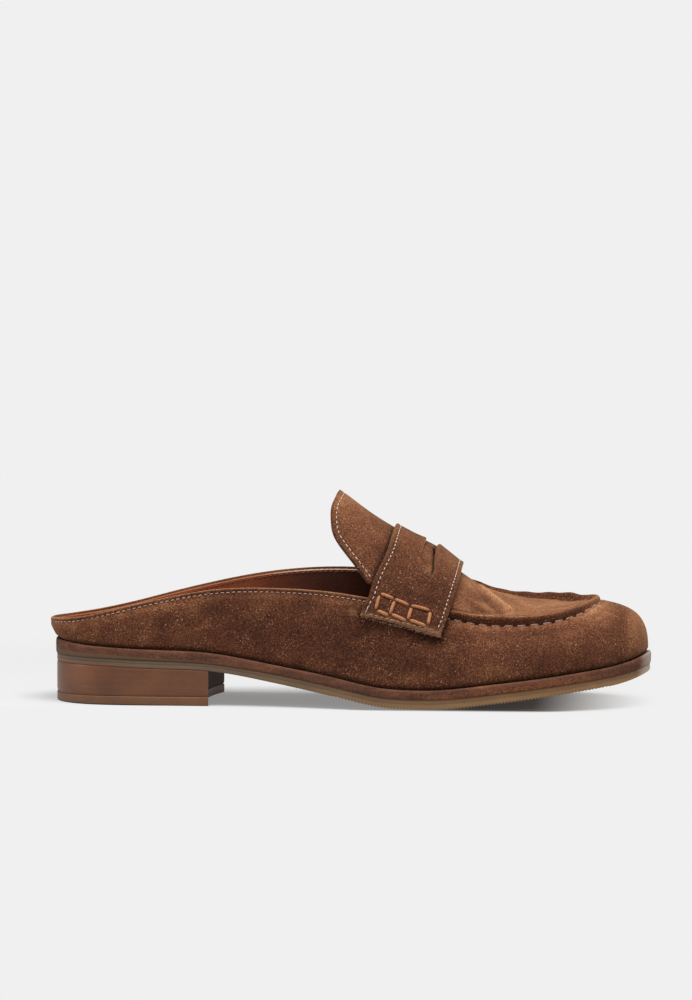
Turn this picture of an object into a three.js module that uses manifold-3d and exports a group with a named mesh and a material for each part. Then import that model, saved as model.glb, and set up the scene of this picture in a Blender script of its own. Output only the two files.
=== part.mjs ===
// A backless penny loafer for the right foot: suede upper with a raised moccasin seam, a standing
// tongue and a slotted strap, on a stitched rand, a rubber outsole and a stacked heel.
// Millimetres. +X runs to the toe, +Y to the inner side of the foot, +Z up. The origin is the
// middle of the heel where it meets the floor.
import * as THREE from 'three';
import { mergeVertices } from 'three/addons/utils/BufferGeometryUtils.js';
import Module from 'manifold-3d';

const wasm = await Module();
wasm.setup();

// Driving sizes
const SOLE_LENGTH = 256;
const BALL_WIDTH = 87;
const HEEL_RISE = 17.3;
const TOE_SPRING = 14.6;
const WALL_HEIGHT = 43;
const INSTEP_RISE = 36.5;
const ARCH_FULLNESS = 0.35;

// Heel
const HEEL_LENGTH = 69.4;
const LIFT_THICKNESS = 3.7;
const BREAST_HOLLOW = 4;

// Sole
const OUTSOLE_THICKNESS = 4.3;
const WELT_THICKNESS = 4;
const OUTSOLE_INSET = 0.4;
const TREAD_CROWN = 1;
const TREAD_SHOULDER = 7;
const HEEL_SEAT_END = 37;
const HEEL_SEAT_BLEND = 8;
const HEEL_BACK = -HEEL_LENGTH / 2;

// Upper
const WELT_MARGIN = 1.2;
const UPPER_WALL = 2.2;
const WALL_SWELL = 1;
const SEAM_HEIGHT = 3;
const SEAM_FOOT = 1.7;
const SEAM_CREST = 1.1;
const SEAM_TOE_SHARE = 0.6;

// Tongue, strap and insole
const TONGUE_WALL = 2;
const TONGUE_TUCK = 3;
const STRAP_THICKNESS = 1.8;
const STRAP_REACH = 1.4;
const STRAP_REAR_SWEEP = 13.5;
const STRAP_REAR_BEND = 2.15;
const STRAP_FRONT_SWEEP = 5.2;
const STRAP_FRONT_BEND = 3;
const STRAP_END_REAR = 1.29;
const STRAP_END_FRONT = 1.42;
const STRAP_FRONT_LIFT = 2;
const SLOT_LENGTH = 42;
const SLOT_WAIST = 3.9;
const SLOT_END = 5.8;
const SLOT_TURN = 0.82;
const INSOLE_THICKNESS = 2.6;
const CLEARANCE = 0.3;
const THROAT_GAP = 1;

// Places along the sole, as shares of its length: the closed top's rear edge under the strap, the
// strap's two edges over the instep, the middle of its slot, and where the moccasin seam rises,
// stands full and begins to sink towards the toe
const PLACE = {
  throat: 0.599,
  strapRear: 0.571,
  strapFront: 0.677,
  slot: 0.6265,
  seamStart: 0.63,
  seamFull: 0.693,
  seamLow: 0.85,
};

// Outline of the sole: places from heel to toe as shares of its length, half widths to the outer
// and inner side as shares of the ball width
const OUTLINE = [
  { at: 0, outer: 0, inner: 0 },
  { at: 0.017, outer: 0.18, inner: 0.18 },
  { at: 0.055, outer: 0.282, inner: 0.282 },
  { at: 0.114, outer: 0.327, inner: 0.327 },
  { at: 0.173, outer: 0.333, inner: 0.333 },
  { at: 0.267, outer: 0.333, inner: 0.322 },
  { at: 0.369, outer: 0.356, inner: 0.305 },
  { at: 0.486, outer: 0.425, inner: 0.322 },
  { at: 0.565, outer: 0.489, inner: 0.368 },
  { at: 0.643, outer: 0.522, inner: 0.431 },
  { at: 0.722, outer: 0.522, inner: 0.477 },
  { at: 0.8, outer: 0.489, inner: 0.483 },
  { at: 0.878, outer: 0.402, inner: 0.431 },
  { at: 0.937, outer: 0.305, inner: 0.342 },
  { at: 0.973, outer: 0.2, inner: 0.24 },
  { at: 0.993, outer: 0.098, inner: 0.132 },
  { at: 1, outer: -0.017, inner: 0.017 },
];

// Side view of the sole: its lower edge as a share of the heel's rise plus a share of the toe
// spring, and the thickness of each layer as a share of the named one
const SOLE_LINE = [
  { at: 0, heel: 1, spring: 0, outsole: 0.72, welt: 1.65 },
  { at: 0.06, heel: 0.975, spring: 0, outsole: 0.76, welt: 1.28 },
  { at: 0.119, heel: 0.942, spring: 0, outsole: 0.8, welt: 1.14 },
  { at: 0.177, heel: 0.908, spring: 0, outsole: 0.8, welt: 1.12 },
  { at: 0.271, heel: 0.86, spring: 0, outsole: 0.74, welt: 1.12 },
  { at: 0.372, heel: 0.624, spring: 0, outsole: 0.88, welt: 0.94 },
  { at: 0.489, heel: 0.283, spring: 0, outsole: 0.98, welt: 0.97 },
  { at: 0.559, heel: 0.084, spring: 0, outsole: 1.04, welt: 0.94 },
  { at: 0.606, heel: 0.05, spring: 0, outsole: 1.04, welt: 0.92 },
  { at: 0.657, heel: 0.058, spring: 0.005, outsole: 1.04, welt: 0.94 },
  { at: 0.723, heel: 0, spring: 0.185, outsole: 1.03, welt: 1 },
  { at: 0.821, heel: 0, spring: 0.397, outsole: 1.01, welt: 0.95 },
  { at: 0.918, heel: 0, spring: 0.63, outsole: 0.94, welt: 1 },
  { at: 0.973, heel: 0, spring: 0.83, outsole: 0.85, welt: 1.1 },
  { at: 1, heel: 0, spring: 1, outsole: 0.72, welt: 1.25 },
];

// Top edge of the wall on each side, one row for each row of the outline: place along the sole,
// half width, and height above the welt as a share of the wall height
const OUTER_RIM = [
  { at: -0.01, out: 0, rise: 0.186 },
  { at: 0.01, out: 0.162, rise: 0.212 },
  { at: 0.053, out: 0.248, rise: 0.266 },
  { at: 0.119, out: 0.291, rise: 0.381 },
  { at: 0.177, out: 0.299, rise: 0.48 },
  { at: 0.271, out: 0.301, rise: 0.609 },
  { at: 0.372, out: 0.324, rise: 0.735 },
  { at: 0.489, out: 0.392, rise: 0.827 },
  { at: 0.567, out: 0.417, rise: 0.844 },
  { at: 0.641, out: 0.37, rise: 0.76 },
  { at: 0.715, out: 0.347, rise: 0.607 },
  { at: 0.777, out: 0.331, rise: 0.534 },
  { at: 0.834, out: 0.282, rise: 0.5 },
  { at: 0.874, out: 0.201, rise: 0.5 },
  { at: 0.893, out: 0.128, rise: 0.505 },
  { at: 0.905, out: 0.055, rise: 0.495 },
  { at: 0.909, out: -0.02, rise: 0.483 },
];
const INNER_RIM = [
  { at: -0.01, out: 0, rise: 0.186 },
  { at: 0.01, out: 0.16, rise: 0.205 },
  { at: 0.053, out: 0.246, rise: 0.261 },
  { at: 0.119, out: 0.291, rise: 0.363 },
  { at: 0.177, out: 0.298, rise: 0.469 },
  { at: 0.271, out: 0.287, rise: 0.628 },
  { at: 0.372, out: 0.272, rise: 0.83 },
  { at: 0.489, out: 0.29, rise: 0.987 },
  { at: 0.567, out: 0.313, rise: 1.04 },
  { at: 0.641, out: 0.32, rise: 0.977 },
  { at: 0.715, out: 0.313, rise: 0.807 },
  { at: 0.777, out: 0.299, rise: 0.677 },
  { at: 0.834, out: 0.256, rise: 0.6 },
  { at: 0.874, out: 0.19, rise: 0.547 },
  { at: 0.893, out: 0.128, rise: 0.52 },
  { at: 0.905, out: 0.072, rise: 0.497 },
  { at: 0.909, out: 0.02, rise: 0.483 },
];

// Section of the wall and of the closed top, one row for each row of the outline: how far the wall
// swells outside the welt in wall swells, how upright it stands, how broad and how steep its
// shoulder is, and the rise of the top's crown over the line between its two edges
const SECTION = [
  { swell: 0.5, stand: 0.3, shoulder: 0.3, drop: 0.4, crown: 0 },
  { swell: 0.6, stand: 0.3, shoulder: 0.3, drop: 0.4, crown: 0 },
  { swell: 0.8, stand: 0.35, shoulder: 0.3, drop: 0.4, crown: 0 },
  { swell: 1, stand: 0.35, shoulder: 0.3, drop: 0.4, crown: 0 },
  { swell: 1, stand: 0.35, shoulder: 0.3, drop: 0.4, crown: 2.4 },
  { swell: 0.8, stand: 0.35, shoulder: 0.3, drop: 0.4, crown: 1.95 },
  { swell: 0.6, stand: 0.35, shoulder: 0.3, drop: 0.4, crown: 1.44 },
  { swell: 0.6, stand: 0.4, shoulder: 0.4, drop: 0.3, crown: 1 },
  { swell: 0.9, stand: 0.45, shoulder: 0.6, drop: 0.16, crown: 0.675 },
  { swell: 1.2, stand: 0.5, shoulder: 0.6, drop: 0.25, crown: 0.43 },
  { swell: 1.4, stand: 0.5, shoulder: 0.55, drop: 0.25, crown: 0.18 },
  { swell: 1.2, stand: 0.5, shoulder: 0.55, drop: 0.2, crown: 0.115 },
  { swell: 0.8, stand: 0.55, shoulder: 0.55, drop: 0.12, crown: 0.08 },
  { swell: 0.5, stand: 0.6, shoulder: 0.62, drop: 0.06, crown: 0.045 },
  { swell: 0.4, stand: 0.64, shoulder: 0.66, drop: 0.03, crown: 0.02 },
  { swell: 0.4, stand: 0.68, shoulder: 0.7, drop: 0, crown: 0.006 },
  { swell: 0.4, stand: 0.68, shoulder: 0.7, drop: 0, crown: 0 },
];

// Free end of the tongue: place along the sole for each place across it, from outer edge to inner
const TONGUE_END = [
  { across: -1, at: 0.565 },
  { across: -0.91, at: 0.538 },
  { across: -0.8, at: 0.508 },
  { across: -0.7, at: 0.481 },
  { across: -0.6, at: 0.473 },
  { across: -0.45, at: 0.472 },
  { across: -0.25, at: 0.477 },
  { across: 0, at: 0.48 },
  { across: 0.25, at: 0.477 },
  { across: 0.45, at: 0.473 },
  { across: 0.6, at: 0.475 },
  { across: 0.7, at: 0.482 },
  { across: 0.8, at: 0.5 },
  { across: 0.91, at: 0.524 },
  { across: 1, at: 0.545 },
];

// Numbers of steps in the meshes
const REAR_STEPS = 20;
const FRONT_STEPS = 22;
const HEEL_ROWS = 14;
const HEEL_COLUMNS = 8;
const ACROSS_STEPS = 12;
const WALL_SHARES = [0, 0.14, 0.28, 0.42, 0.56, 0.7, 0.84];

const lerp = (a, b, share) => a + (b - a) * share;
const smooth = (value) => {
  const share = Math.min(Math.max(value, 0), 1);
  return share * share * (3 - 2 * share);
};

// Solves a small dense set of linear equations by elimination
function solve(matrix, right) {
  const size = right.length;
  const rows = matrix.map((row, i) => [...row, right[i]]);
  for (let column = 0; column < size; column += 1) {
    let best = column;
    for (let i = column + 1; i < size; i += 1) {
      if (Math.abs(rows[i][column]) > Math.abs(rows[best][column])) best = i;
    }
    [rows[column], rows[best]] = [rows[best], rows[column]];
    for (let i = column + 1; i < size; i += 1) {
      const factor = rows[i][column] / rows[column][column];
      for (let j = column; j <= size; j += 1) rows[i][j] -= factor * rows[column][j];
    }
  }
  const answer = new Array(size).fill(0);
  for (let i = size - 1; i >= 0; i -= 1) {
    let sum = rows[i][size];
    for (let j = i + 1; j < size; j += 1) sum -= rows[i][j] * answer[j];
    answer[i] = sum / rows[i][i];
  }
  return answer;
}

// A smooth cubic curve through values at knots: open with free ends, or closed over a period
function curve(knots, values, period = 0) {
  const count = knots.length;
  const closed = period > 0;
  const spans = closed ? count : count - 1;
  const step = [];
  for (let i = 0; i < spans; i += 1) {
    const next = i + 1 < count ? knots[i + 1] : knots[0] + period;
    step.push(next - knots[i]);
  }
  const matrix = values.map(() => new Array(count).fill(0));
  const right = new Array(count).fill(0);
  for (let i = 0; i < count; i += 1) {
    if (!closed && (i === 0 || i === count - 1)) {
      matrix[i][i] = 1;
      continue;
    }
    const before = (i + count - 1) % count;
    const after = (i + 1) % count;
    const left = step[(i + spans - 1) % spans];
    matrix[i][before] += left;
    matrix[i][i] += 2 * (left + step[i]);
    matrix[i][after] += step[i];
    right[i] = 6 * ((values[after] - values[i]) / step[i] - (values[i] - values[before]) / left);
  }
  const bend = solve(matrix, right);
  return (place) => {
    const local = closed ? ((((place - knots[0]) % period) + period) % period) + knots[0] : place;
    let i = 0;
    while (i < spans - 1 && local > knots[i + 1]) i += 1;
    const after = (i + 1) % count;
    const width = step[i];
    const b = (local - knots[i]) / width;
    const a = 1 - b;
    const straight = a * values[i] + b * values[after];
    return straight + ((a ** 3 - a) * bend[i] + (b ** 3 - b) * bend[after]) * width * width / 6;
  };
}

const alongSole = (share) => HEEL_BACK + share * SOLE_LENGTH;

// Curves of the sole's side view, each a function of x
const lineKnots = SOLE_LINE.map((row) => alongSole(row.at));
const lowerEdge = curve(
  lineKnots,
  SOLE_LINE.map((row) => row.heel * HEEL_RISE + row.spring * TOE_SPRING),
);
const outsoleDepth = curve(lineKnots, SOLE_LINE.map((row) => row.outsole * OUTSOLE_THICKNESS));
const weltDepth = curve(lineKnots, SOLE_LINE.map((row) => row.welt * WELT_THICKNESS));
const outsoleTop = (x) => lowerEdge(x) + outsoleDepth(x);
const weltTop = (x) => outsoleTop(x) + weltDepth(x);

// Station numbers: the distance walked along the outline, the mean of both sides. Stations from 0
// to TOE go along the outer side, and on to LOOP back along the inner side.
const outlinePoints = OUTLINE.map((row) => ({
  x: alongSole(row.at),
  outer: -row.outer * BALL_WIDTH,
  inner: row.inner * BALL_WIDTH,
}));
const stations = [0];
for (let k = 1; k < outlinePoints.length; k += 1) {
  const here = outlinePoints[k];
  const last = outlinePoints[k - 1];
  const outerStep = Math.hypot(here.x - last.x, here.outer - last.outer);
  const innerStep = Math.hypot(here.x - last.x, here.inner - last.inner);
  stations.push(stations[k - 1] + (outerStep + innerStep) / 2);
}
const TOE = stations[stations.length - 1];
const LOOP = 2 * TOE;
const loopKnots = [...stations, ...stations.slice(1, -1).reverse().map((place) => LOOP - place)];
const aroundLoop = (outer, inner) => curve(
  loopKnots,
  [...outer, ...inner.slice(1, -1).reverse()],
  LOOP,
);

const outlineX = aroundLoop(outlinePoints.map((row) => row.x), outlinePoints.map((row) => row.x));
const outlineY = aroundLoop(
  outlinePoints.map((row) => row.outer),
  outlinePoints.map((row) => row.inner),
);
const rimX = aroundLoop(
  OUTER_RIM.map((row) => alongSole(row.at)),
  INNER_RIM.map((row) => alongSole(row.at)),
);
const rimY = aroundLoop(
  OUTER_RIM.map((row) => -row.out * BALL_WIDTH),
  INNER_RIM.map((row) => row.out * BALL_WIDTH),
);
const rimRise = aroundLoop(
  OUTER_RIM.map((row) => row.rise * WALL_HEIGHT),
  INNER_RIM.map((row) => row.rise * WALL_HEIGHT),
);
const sectionCurve = (name) => {
  const open = curve(stations, SECTION.map((row) => row[name]));
  return (place) => open(place > TOE ? LOOP - place : place);
};
const swell = sectionCurve('swell');
const stand = sectionCurve('stand');
const shoulder = sectionCurve('shoulder');
const drop = sectionCurve('drop');
const crownShare = sectionCurve('crown');

// Plan point of the outline moved inwards
function planPoint(place, inset) {
  const reach = 0.05;
  const dx = outlineX(place + reach) - outlineX(place - reach);
  const dy = outlineY(place + reach) - outlineY(place - reach);
  const size = Math.hypot(dx, dy);
  return {
    x: outlineX(place) - (dy / size) * inset,
    y: outlineY(place) + (dx / size) * inset,
    outX: dy / size,
    outY: -dx / size,
  };
}

const rimPoint = (place) => {
  const foot = planPoint(place, WELT_MARGIN);
  return new THREE.Vector3(
    rimX(place),
    rimY(place),
    weltTop(foot.x) + CLEARANCE + rimRise(place),
  );
};

// Point of the wall's outer face, from the welt (share 0) to the rim (share 1)
function wallPoint(place, share) {
  const plan = planPoint(place, WELT_MARGIN);
  const foot = new THREE.Vector3(plan.x, plan.y, weltTop(plan.x) + CLEARANCE);
  const rim = rimPoint(place);
  const height = rim.z - foot.z;
  const upright = new THREE.Vector3(
    foot.x + plan.outX * swell(place) * WALL_SWELL,
    foot.y + plan.outY * swell(place) * WALL_SWELL,
    foot.z + height * stand(place),
  );
  const turn = new THREE.Vector3(
    lerp(rim.x, foot.x, shoulder(place)),
    lerp(rim.y, foot.y, shoulder(place)),
    rim.z - height * drop(place),
  );
  return new THREE.CubicBezierCurve3(foot, upright, turn, rim).getPoint(share);
}

// Height of the arch for a place across it: a cosine filled out towards its two feet
const archShare = (across) => lerp(Math.cos((across * Math.PI) / 2), 1 - across ** 4, ARCH_FULLNESS);

// Arched top between two edge points, across from -1 at the first to 1 at the second
function archPoint(first, second, place, across) {
  const share = (across + 1) / 2;
  const rise = crownShare(place) * INSTEP_RISE;
  return new THREE.Vector3(
    lerp(first.x, second.x, share),
    lerp(first.y, second.y, share),
    lerp(first.z, second.z, share) + rise * archShare(across),
  );
}

const rimWidth = (place) => Math.abs(rimY(LOOP - place) - rimY(place)) + 1e-6;

// Whole instep form over the foot: -2 at the outer welt, -1 and 1 at the rims, 2 at the inner welt
function instepPoint(place, across) {
  if (across < -1) return wallPoint(place, across + 2);
  if (across > 1) return wallPoint(LOOP - place, 2 - across);
  return archPoint(rimPoint(place), rimPoint(LOOP - place), place, across);
}

// Station where a rising measure reaches a value, found by halving
function findStation(measure, value) {
  let low = 0;
  let high = TOE;
  for (let round = 0; round < 40; round += 1) {
    const middle = (low + high) / 2;
    if (measure(middle) < value) low = middle;
    else high = middle;
  }
  return (low + high) / 2;
}

const stationAt = (x) => findStation((place) => (rimX(place) + rimX(LOOP - place)) / 2, x);

// A surface of points and triangles that is later given a thickness
class Sheet {
  constructor() {
    this.points = [];
    this.faces = [];
    this.marks = [];
  }

  add(point, mark = {}) {
    this.points.push(point);
    this.marks.push(mark);
    return this.points.length - 1;
  }

  face(a, b, c) {
    if (a !== b && b !== c && c !== a) this.faces.push([a, b, c]);
  }

  // Joins two rows of equal length by pairs of triangles
  strip(first, second, closed = false) {
    const count = closed ? first.length : first.length - 1;
    for (let i = 0; i < count; i += 1) {
      const next = (i + 1) % first.length;
      this.face(first[i], first[next], second[next]);
      this.face(first[i], second[next], second[i]);
    }
  }

  // Fans a row out to one point
  fan(row, tip) {
    for (let i = 0; i + 1 < row.length; i += 1) this.face(row[i], row[i + 1], tip);
  }

  normals() {
    const geometry = new THREE.BufferGeometry().setFromPoints(this.points);
    geometry.setIndex(this.faces.flat());
    geometry.computeVertexNormals();
    const attribute = geometry.getAttribute('normal');
    return this.points.map((point, i) => new THREE.Vector3().fromBufferAttribute(attribute, i));
  }

  // Closed solid between two moved copies of the sheet, joined around every open edge
  solid(upper, lower) {
    const normal = this.normals();
    const count = this.points.length;
    const top = this.points.map((point, i) => upper(point, normal[i], this.marks[i]));
    const bottom = this.points.map((point, i) => lower(point, normal[i], this.marks[i]));
    const faces = [];
    const edges = new Map();
    for (const [a, b, c] of this.faces) {
      faces.push([a, b, c], [a + count, c + count, b + count]);
      for (const [from, to] of [[a, b], [b, c], [c, a]]) edges.set(`${from} ${to}`, [from, to]);
    }
    for (const [from, to] of edges.values()) {
      if (edges.has(`${to} ${from}`)) continue;
      faces.push([from, from + count, to + count], [from, to + count, to]);
    }
    return closedGeometry([...top, ...bottom], faces);
  }
}

// Geometry with faces that point out, whichever way round they were listed
function closedGeometry(points, faces) {
  let volume = 0;
  for (const [a, b, c] of faces) {
    volume += points[a].dot(new THREE.Vector3().crossVectors(points[b], points[c]));
  }
  const outward = volume > 0 ? faces : faces.map(([a, b, c]) => [a, c, b]);
  const geometry = new THREE.BufferGeometry().setFromPoints(points);
  geometry.setIndex(outward.flat());
  return geometry;
}

const along = (from, to, steps) => Array.from(
  { length: steps + 1 },
  (unused, i) => lerp(from, to, i / steps),
);
const offset = (point, normal, distance) => point.clone().addScaledVector(normal, distance);

// Flat sheet inside the outline, with a rim ring and a ladder of rows between its two sides
function planSheet(inset, shoulderWidth) {
  const sheet = new Sheet();
  const steps = REAR_STEPS + FRONT_STEPS;
  const places = along(0, LOOP, 2 * steps).slice(0, -1);
  const ring = (distance, mark) => places.map((place) => {
    const plan = planPoint(place, distance);
    return sheet.add(new THREE.Vector3(plan.x, plan.y, 0), mark);
  });
  const edge = ring(inset, { edge: true });
  const inside = ring(inset + shoulderWidth, {});
  sheet.strip(edge, inside, true);
  const count = places.length;
  const columns = 4;
  const rows = [];
  for (let j = 1; j < steps; j += 1) {
    const first = sheet.points[inside[j]];
    const second = sheet.points[inside[count - j]];
    const row = [inside[j]];
    for (let i = 1; i < columns; i += 1) {
      row.push(sheet.add(new THREE.Vector3().lerpVectors(first, second, i / columns)));
    }
    row.push(inside[count - j]);
    rows.push(row);
  }
  for (let j = 0; j + 1 < rows.length; j += 1) sheet.strip(rows[j + 1], rows[j]);
  sheet.fan(rows[0], inside[0]);
  sheet.fan([...rows[rows.length - 1]].reverse(), inside[steps]);
  return sheet;
}

const atHeight = (height) => (point, normal, mark) => new THREE.Vector3(
  point.x,
  point.y,
  height(point.x, mark),
);

// Rubber outsole: its tread is flat across and rises to the edge by the crown, which runs out
// where the heel seats against it
function outsole() {
  const sheet = planSheet(OUTSOLE_INSET, TREAD_SHOULDER);
  const tread = (x, mark) => {
    if (mark.edge) return lowerEdge(x);
    const crown = TREAD_CROWN * smooth((x - HEEL_SEAT_END) / HEEL_SEAT_BLEND);
    return Math.max(lowerEdge(x) - crown, 0);
  };
  return sheet.solid(atHeight((x) => outsoleTop(x) - CLEARANCE), atHeight(tread));
}

function welt() {
  const sheet = planSheet(0, TREAD_SHOULDER);
  return sheet.solid(atHeight(weltTop), atHeight(outsoleTop));
}

function insole() {
  const sheet = planSheet(WELT_MARGIN + UPPER_WALL + 2 * CLEARANCE, TREAD_SHOULDER);
  return sheet.solid(
    atHeight((x) => weltTop(x) + CLEARANCE + INSOLE_THICKNESS),
    atHeight((x) => weltTop(x) + CLEARANCE),
  );
}

// Sheet of the heel's plan, from the back of the sole to the hollowed breast
function heelSheet() {
  const sheet = new Sheet();
  const corner = findStation((place) => outlineX(place), HEEL_BACK + HEEL_LENGTH);
  const back = planPoint(0, OUTSOLE_INSET);
  const tip = sheet.add(new THREE.Vector3(back.x, back.y, 0));
  const grid = [];
  for (let j = 1; j <= HEEL_ROWS; j += 1) {
    const share = j / HEEL_ROWS;
    const outer = planPoint(corner * share, OUTSOLE_INSET);
    const inner = planPoint(LOOP - corner * share, OUTSOLE_INSET);
    const row = along(0, 1, HEEL_COLUMNS).map((side) => {
      const hollow = BREAST_HOLLOW * share ** 4 * 4 * side * (1 - side);
      return sheet.add(new THREE.Vector3(
        lerp(outer.x, inner.x, side) - hollow,
        lerp(outer.y, inner.y, side),
        0,
      ));
    });
    grid.push(row);
  }
  sheet.fan([...grid[0]].reverse(), tip);
  for (let j = 0; j + 1 < HEEL_ROWS; j += 1) sheet.strip(grid[j], grid[j + 1]);
  return sheet;
}

function heelLift() {
  return heelSheet().solid(atHeight(() => LIFT_THICKNESS), atHeight(() => 0));
}

function heelStack() {
  return heelSheet().solid(
    atHeight((x) => lowerEdge(x) - CLEARANCE),
    atHeight(() => LIFT_THICKNESS + CLEARANCE),
  );
}

// Hollow upper: the wall all round, and the closed top in front of the throat. The moccasin seam
// stands on both sides of the rim in front of the strap.
function upper() {
  const sheet = new Sheet();
  const throat = stationAt(alongSole(PLACE.throat));
  const rear = along(0, throat, REAR_STEPS);
  const front = along(throat, TOE, FRONT_STEPS).slice(1);
  const side = [...rear, ...front];
  const places = [...side, ...side.slice(1, -1).reverse().map((place) => LOOP - place)];
  const count = places.length;
  const toe = side.length - 1;
  const seamHeight = (place) => {
    if (place < throat || place > LOOP - throat) return 0;
    const start = alongSole(PLACE.seamStart);
    const full = alongSole(PLACE.seamFull);
    const low = alongSole(PLACE.seamLow);
    const rising = smooth((rimX(place) - start) / (full - start));
    const falling = smooth((rimX(place) - low) / (rimX(TOE) - low));
    return SEAM_HEIGHT * rising * lerp(1, SEAM_TOE_SHARE, falling);
  };
  const wallLength = (place) => wallPoint(place, 0).distanceTo(rimPoint(place)) * 1.1;
  const ring = (make, height) => places.map((place) => sheet.add(
    make(place),
    { raised: height * seamHeight(place) },
  ));
  const rings = WALL_SHARES.map((share) => ring((place) => wallPoint(place, share), 0));
  for (const index of rings[0]) sheet.marks[index].foot = true;
  rings.push(ring((place) => wallPoint(place, 1 - SEAM_FOOT / wallLength(place)), 0));
  rings.push(ring((place) => wallPoint(place, 1 - SEAM_CREST / wallLength(place)), 1));
  rings.push(ring(rimPoint, 1));
  for (let i = 0; i + 1 < rings.length; i += 1) sheet.strip(rings[i], rings[i + 1], true);

  const rim = rings[rings.length - 1];
  const closing = [];
  for (let i = REAR_STEPS; i <= count - REAR_STEPS; i += 1) closing.push(i);
  const inward = (distance, height) => closing.map((i) => {
    const place = places[i];
    const reach = 0.5;
    const dx = rimX(place + reach) - rimX(place - reach);
    const dy = rimY(place + reach) - rimY(place - reach);
    const size = Math.hypot(dx, dy);
    const rimHere = rimPoint(place);
    const share = Math.min(distance / rimWidth(place), 0.5);
    const point = archPoint(rimHere, rimPoint(LOOP - place), place, 2 * share - 1);
    point.x = rimHere.x - (dy / size) * distance;
    point.y = rimHere.y + (dx / size) * distance;
    return sheet.add(point, { raised: height * seamHeight(place) });
  });
  const crest = inward(SEAM_CREST, 1);
  const inside = inward(SEAM_FOOT, 0);
  const rimFront = closing.map((i) => rim[i]);
  sheet.strip(rimFront, crest);
  sheet.strip(crest, inside);
  const rows = [];
  const half = toe - REAR_STEPS;
  for (let j = 0; j < half; j += 1) {
    const first = sheet.points[inside[j]];
    const second = sheet.points[inside[2 * half - j]];
    const row = [inside[j]];
    const place = side[REAR_STEPS + j];
    const reach = 1 - 2 * Math.min(SEAM_FOOT / rimWidth(place), 0.5);
    for (let i = 1; i < ACROSS_STEPS; i += 1) {
      const share = i / ACROSS_STEPS;
      const across = lerp(-reach, reach, share);
      const point = archPoint(rimPoint(place), rimPoint(LOOP - place), place, across);
      point.x = lerp(first.x, second.x, share);
      point.y = lerp(first.y, second.y, share);
      row.push(sheet.add(point, { raised: 0 }));
    }
    row.push(inside[2 * half - j]);
    rows.push(row);
  }
  for (let j = 0; j + 1 < half; j += 1) sheet.strip(rows[j + 1], rows[j]);
  sheet.fan([...rows[half - 1]].reverse(), inside[half]);

  return sheet.solid(
    (point, normal, mark) => offset(point, normal, mark.raised),
    (point, normal, mark) => {
      const moved = offset(point, normal, -UPPER_WALL);
      if (mark.foot) moved.z = point.z;
      return moved;
    },
  );
}

// Tongue: the instep form from the throat up to its rounded free end
function tongue() {
  const sheet = new Sheet();
  const end = curve(
    TONGUE_END.map((row) => row.across),
    TONGUE_END.map((row) => alongSole(row.at)),
  );
  const throat = stationAt(alongSole(PLACE.throat) - THROAT_GAP);
  const width = rimPoint(throat).distanceTo(rimPoint(LOOP - throat));
  const side = 1 - (2 * TONGUE_TUCK) / width;
  const columns = 18;
  const lengths = 12;
  const rows = along(0, 1, lengths).map((share) => along(-side, side, columns).map((across) => {
    const place = lerp(throat, stationAt(end(across)), share);
    return sheet.add(instepPoint(place, across));
  }));
  for (let j = 0; j + 1 < rows.length; j += 1) sheet.strip(rows[j], rows[j + 1]);
  return sheet.solid(
    (point) => point,
    (point, normal) => offset(point, normal, -TONGUE_WALL),
  );
}

// Strap: lies on the instep form from wall to wall and stands off it at the front edge, where it
// crosses the seam. Its ends sweep back towards the heel.
function strapPoint(share, across) {
  const fall = Math.min(Math.abs(across), STRAP_REACH) / STRAP_REACH;
  const rearX = alongSole(PLACE.strapRear) - STRAP_REAR_SWEEP * fall ** STRAP_REAR_BEND;
  const frontX = alongSole(PLACE.strapFront) - STRAP_FRONT_SWEEP * fall ** STRAP_FRONT_BEND;
  return instepPoint(stationAt(lerp(rearX, frontX, share)), across);
}

// Bow-shaped slot across the strap: narrow at the middle, wide near its two ends
function slotCutter() {
  const half = SLOT_LENGTH / 2;
  const waist = SLOT_WAIST / 2;
  const wide = SLOT_END / 2;
  const turn = half * SLOT_TURN;
  const shape = new THREE.Shape();
  shape.moveTo(waist, 0);
  shape.lineTo(wide, turn);
  shape.quadraticCurveTo(wide, half, 0, half);
  shape.quadraticCurveTo(-wide, half, -wide, turn);
  shape.lineTo(-waist, 0);
  shape.lineTo(-wide, -turn);
  shape.quadraticCurveTo(-wide, -half, 0, -half);
  shape.quadraticCurveTo(wide, -half, wide, -turn);
  shape.closePath();
  const depth = 2 * INSTEP_RISE;
  const geometry = new THREE.ExtrudeGeometry(shape, { depth, bevelEnabled: false, curveSegments: 6 });
  const crown = instepPoint(stationAt(alongSole(PLACE.slot)), 0);
  return geometry.translate(crown.x, crown.y, crown.z - INSTEP_RISE);
}

const toManifold = (geometry) => {
  const bare = new THREE.BufferGeometry();
  bare.setAttribute('position', geometry.getAttribute('position'));
  bare.setIndex(geometry.getIndex());
  const merged = mergeVertices(bare, 1e-4);
  return new wasm.Manifold(new wasm.Mesh({
    numProp: 3,
    vertProperties: new Float32Array(merged.getAttribute('position').array),
    triVerts: new Uint32Array(merged.getIndex().array),
  }));
};

const fromManifold = (solid) => {
  const mesh = solid.getMesh();
  const geometry = new THREE.BufferGeometry();
  geometry.setAttribute('position', new THREE.BufferAttribute(mesh.vertProperties, 3));
  geometry.setIndex(new THREE.BufferAttribute(mesh.triVerts, 1));
  return geometry;
};

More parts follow.
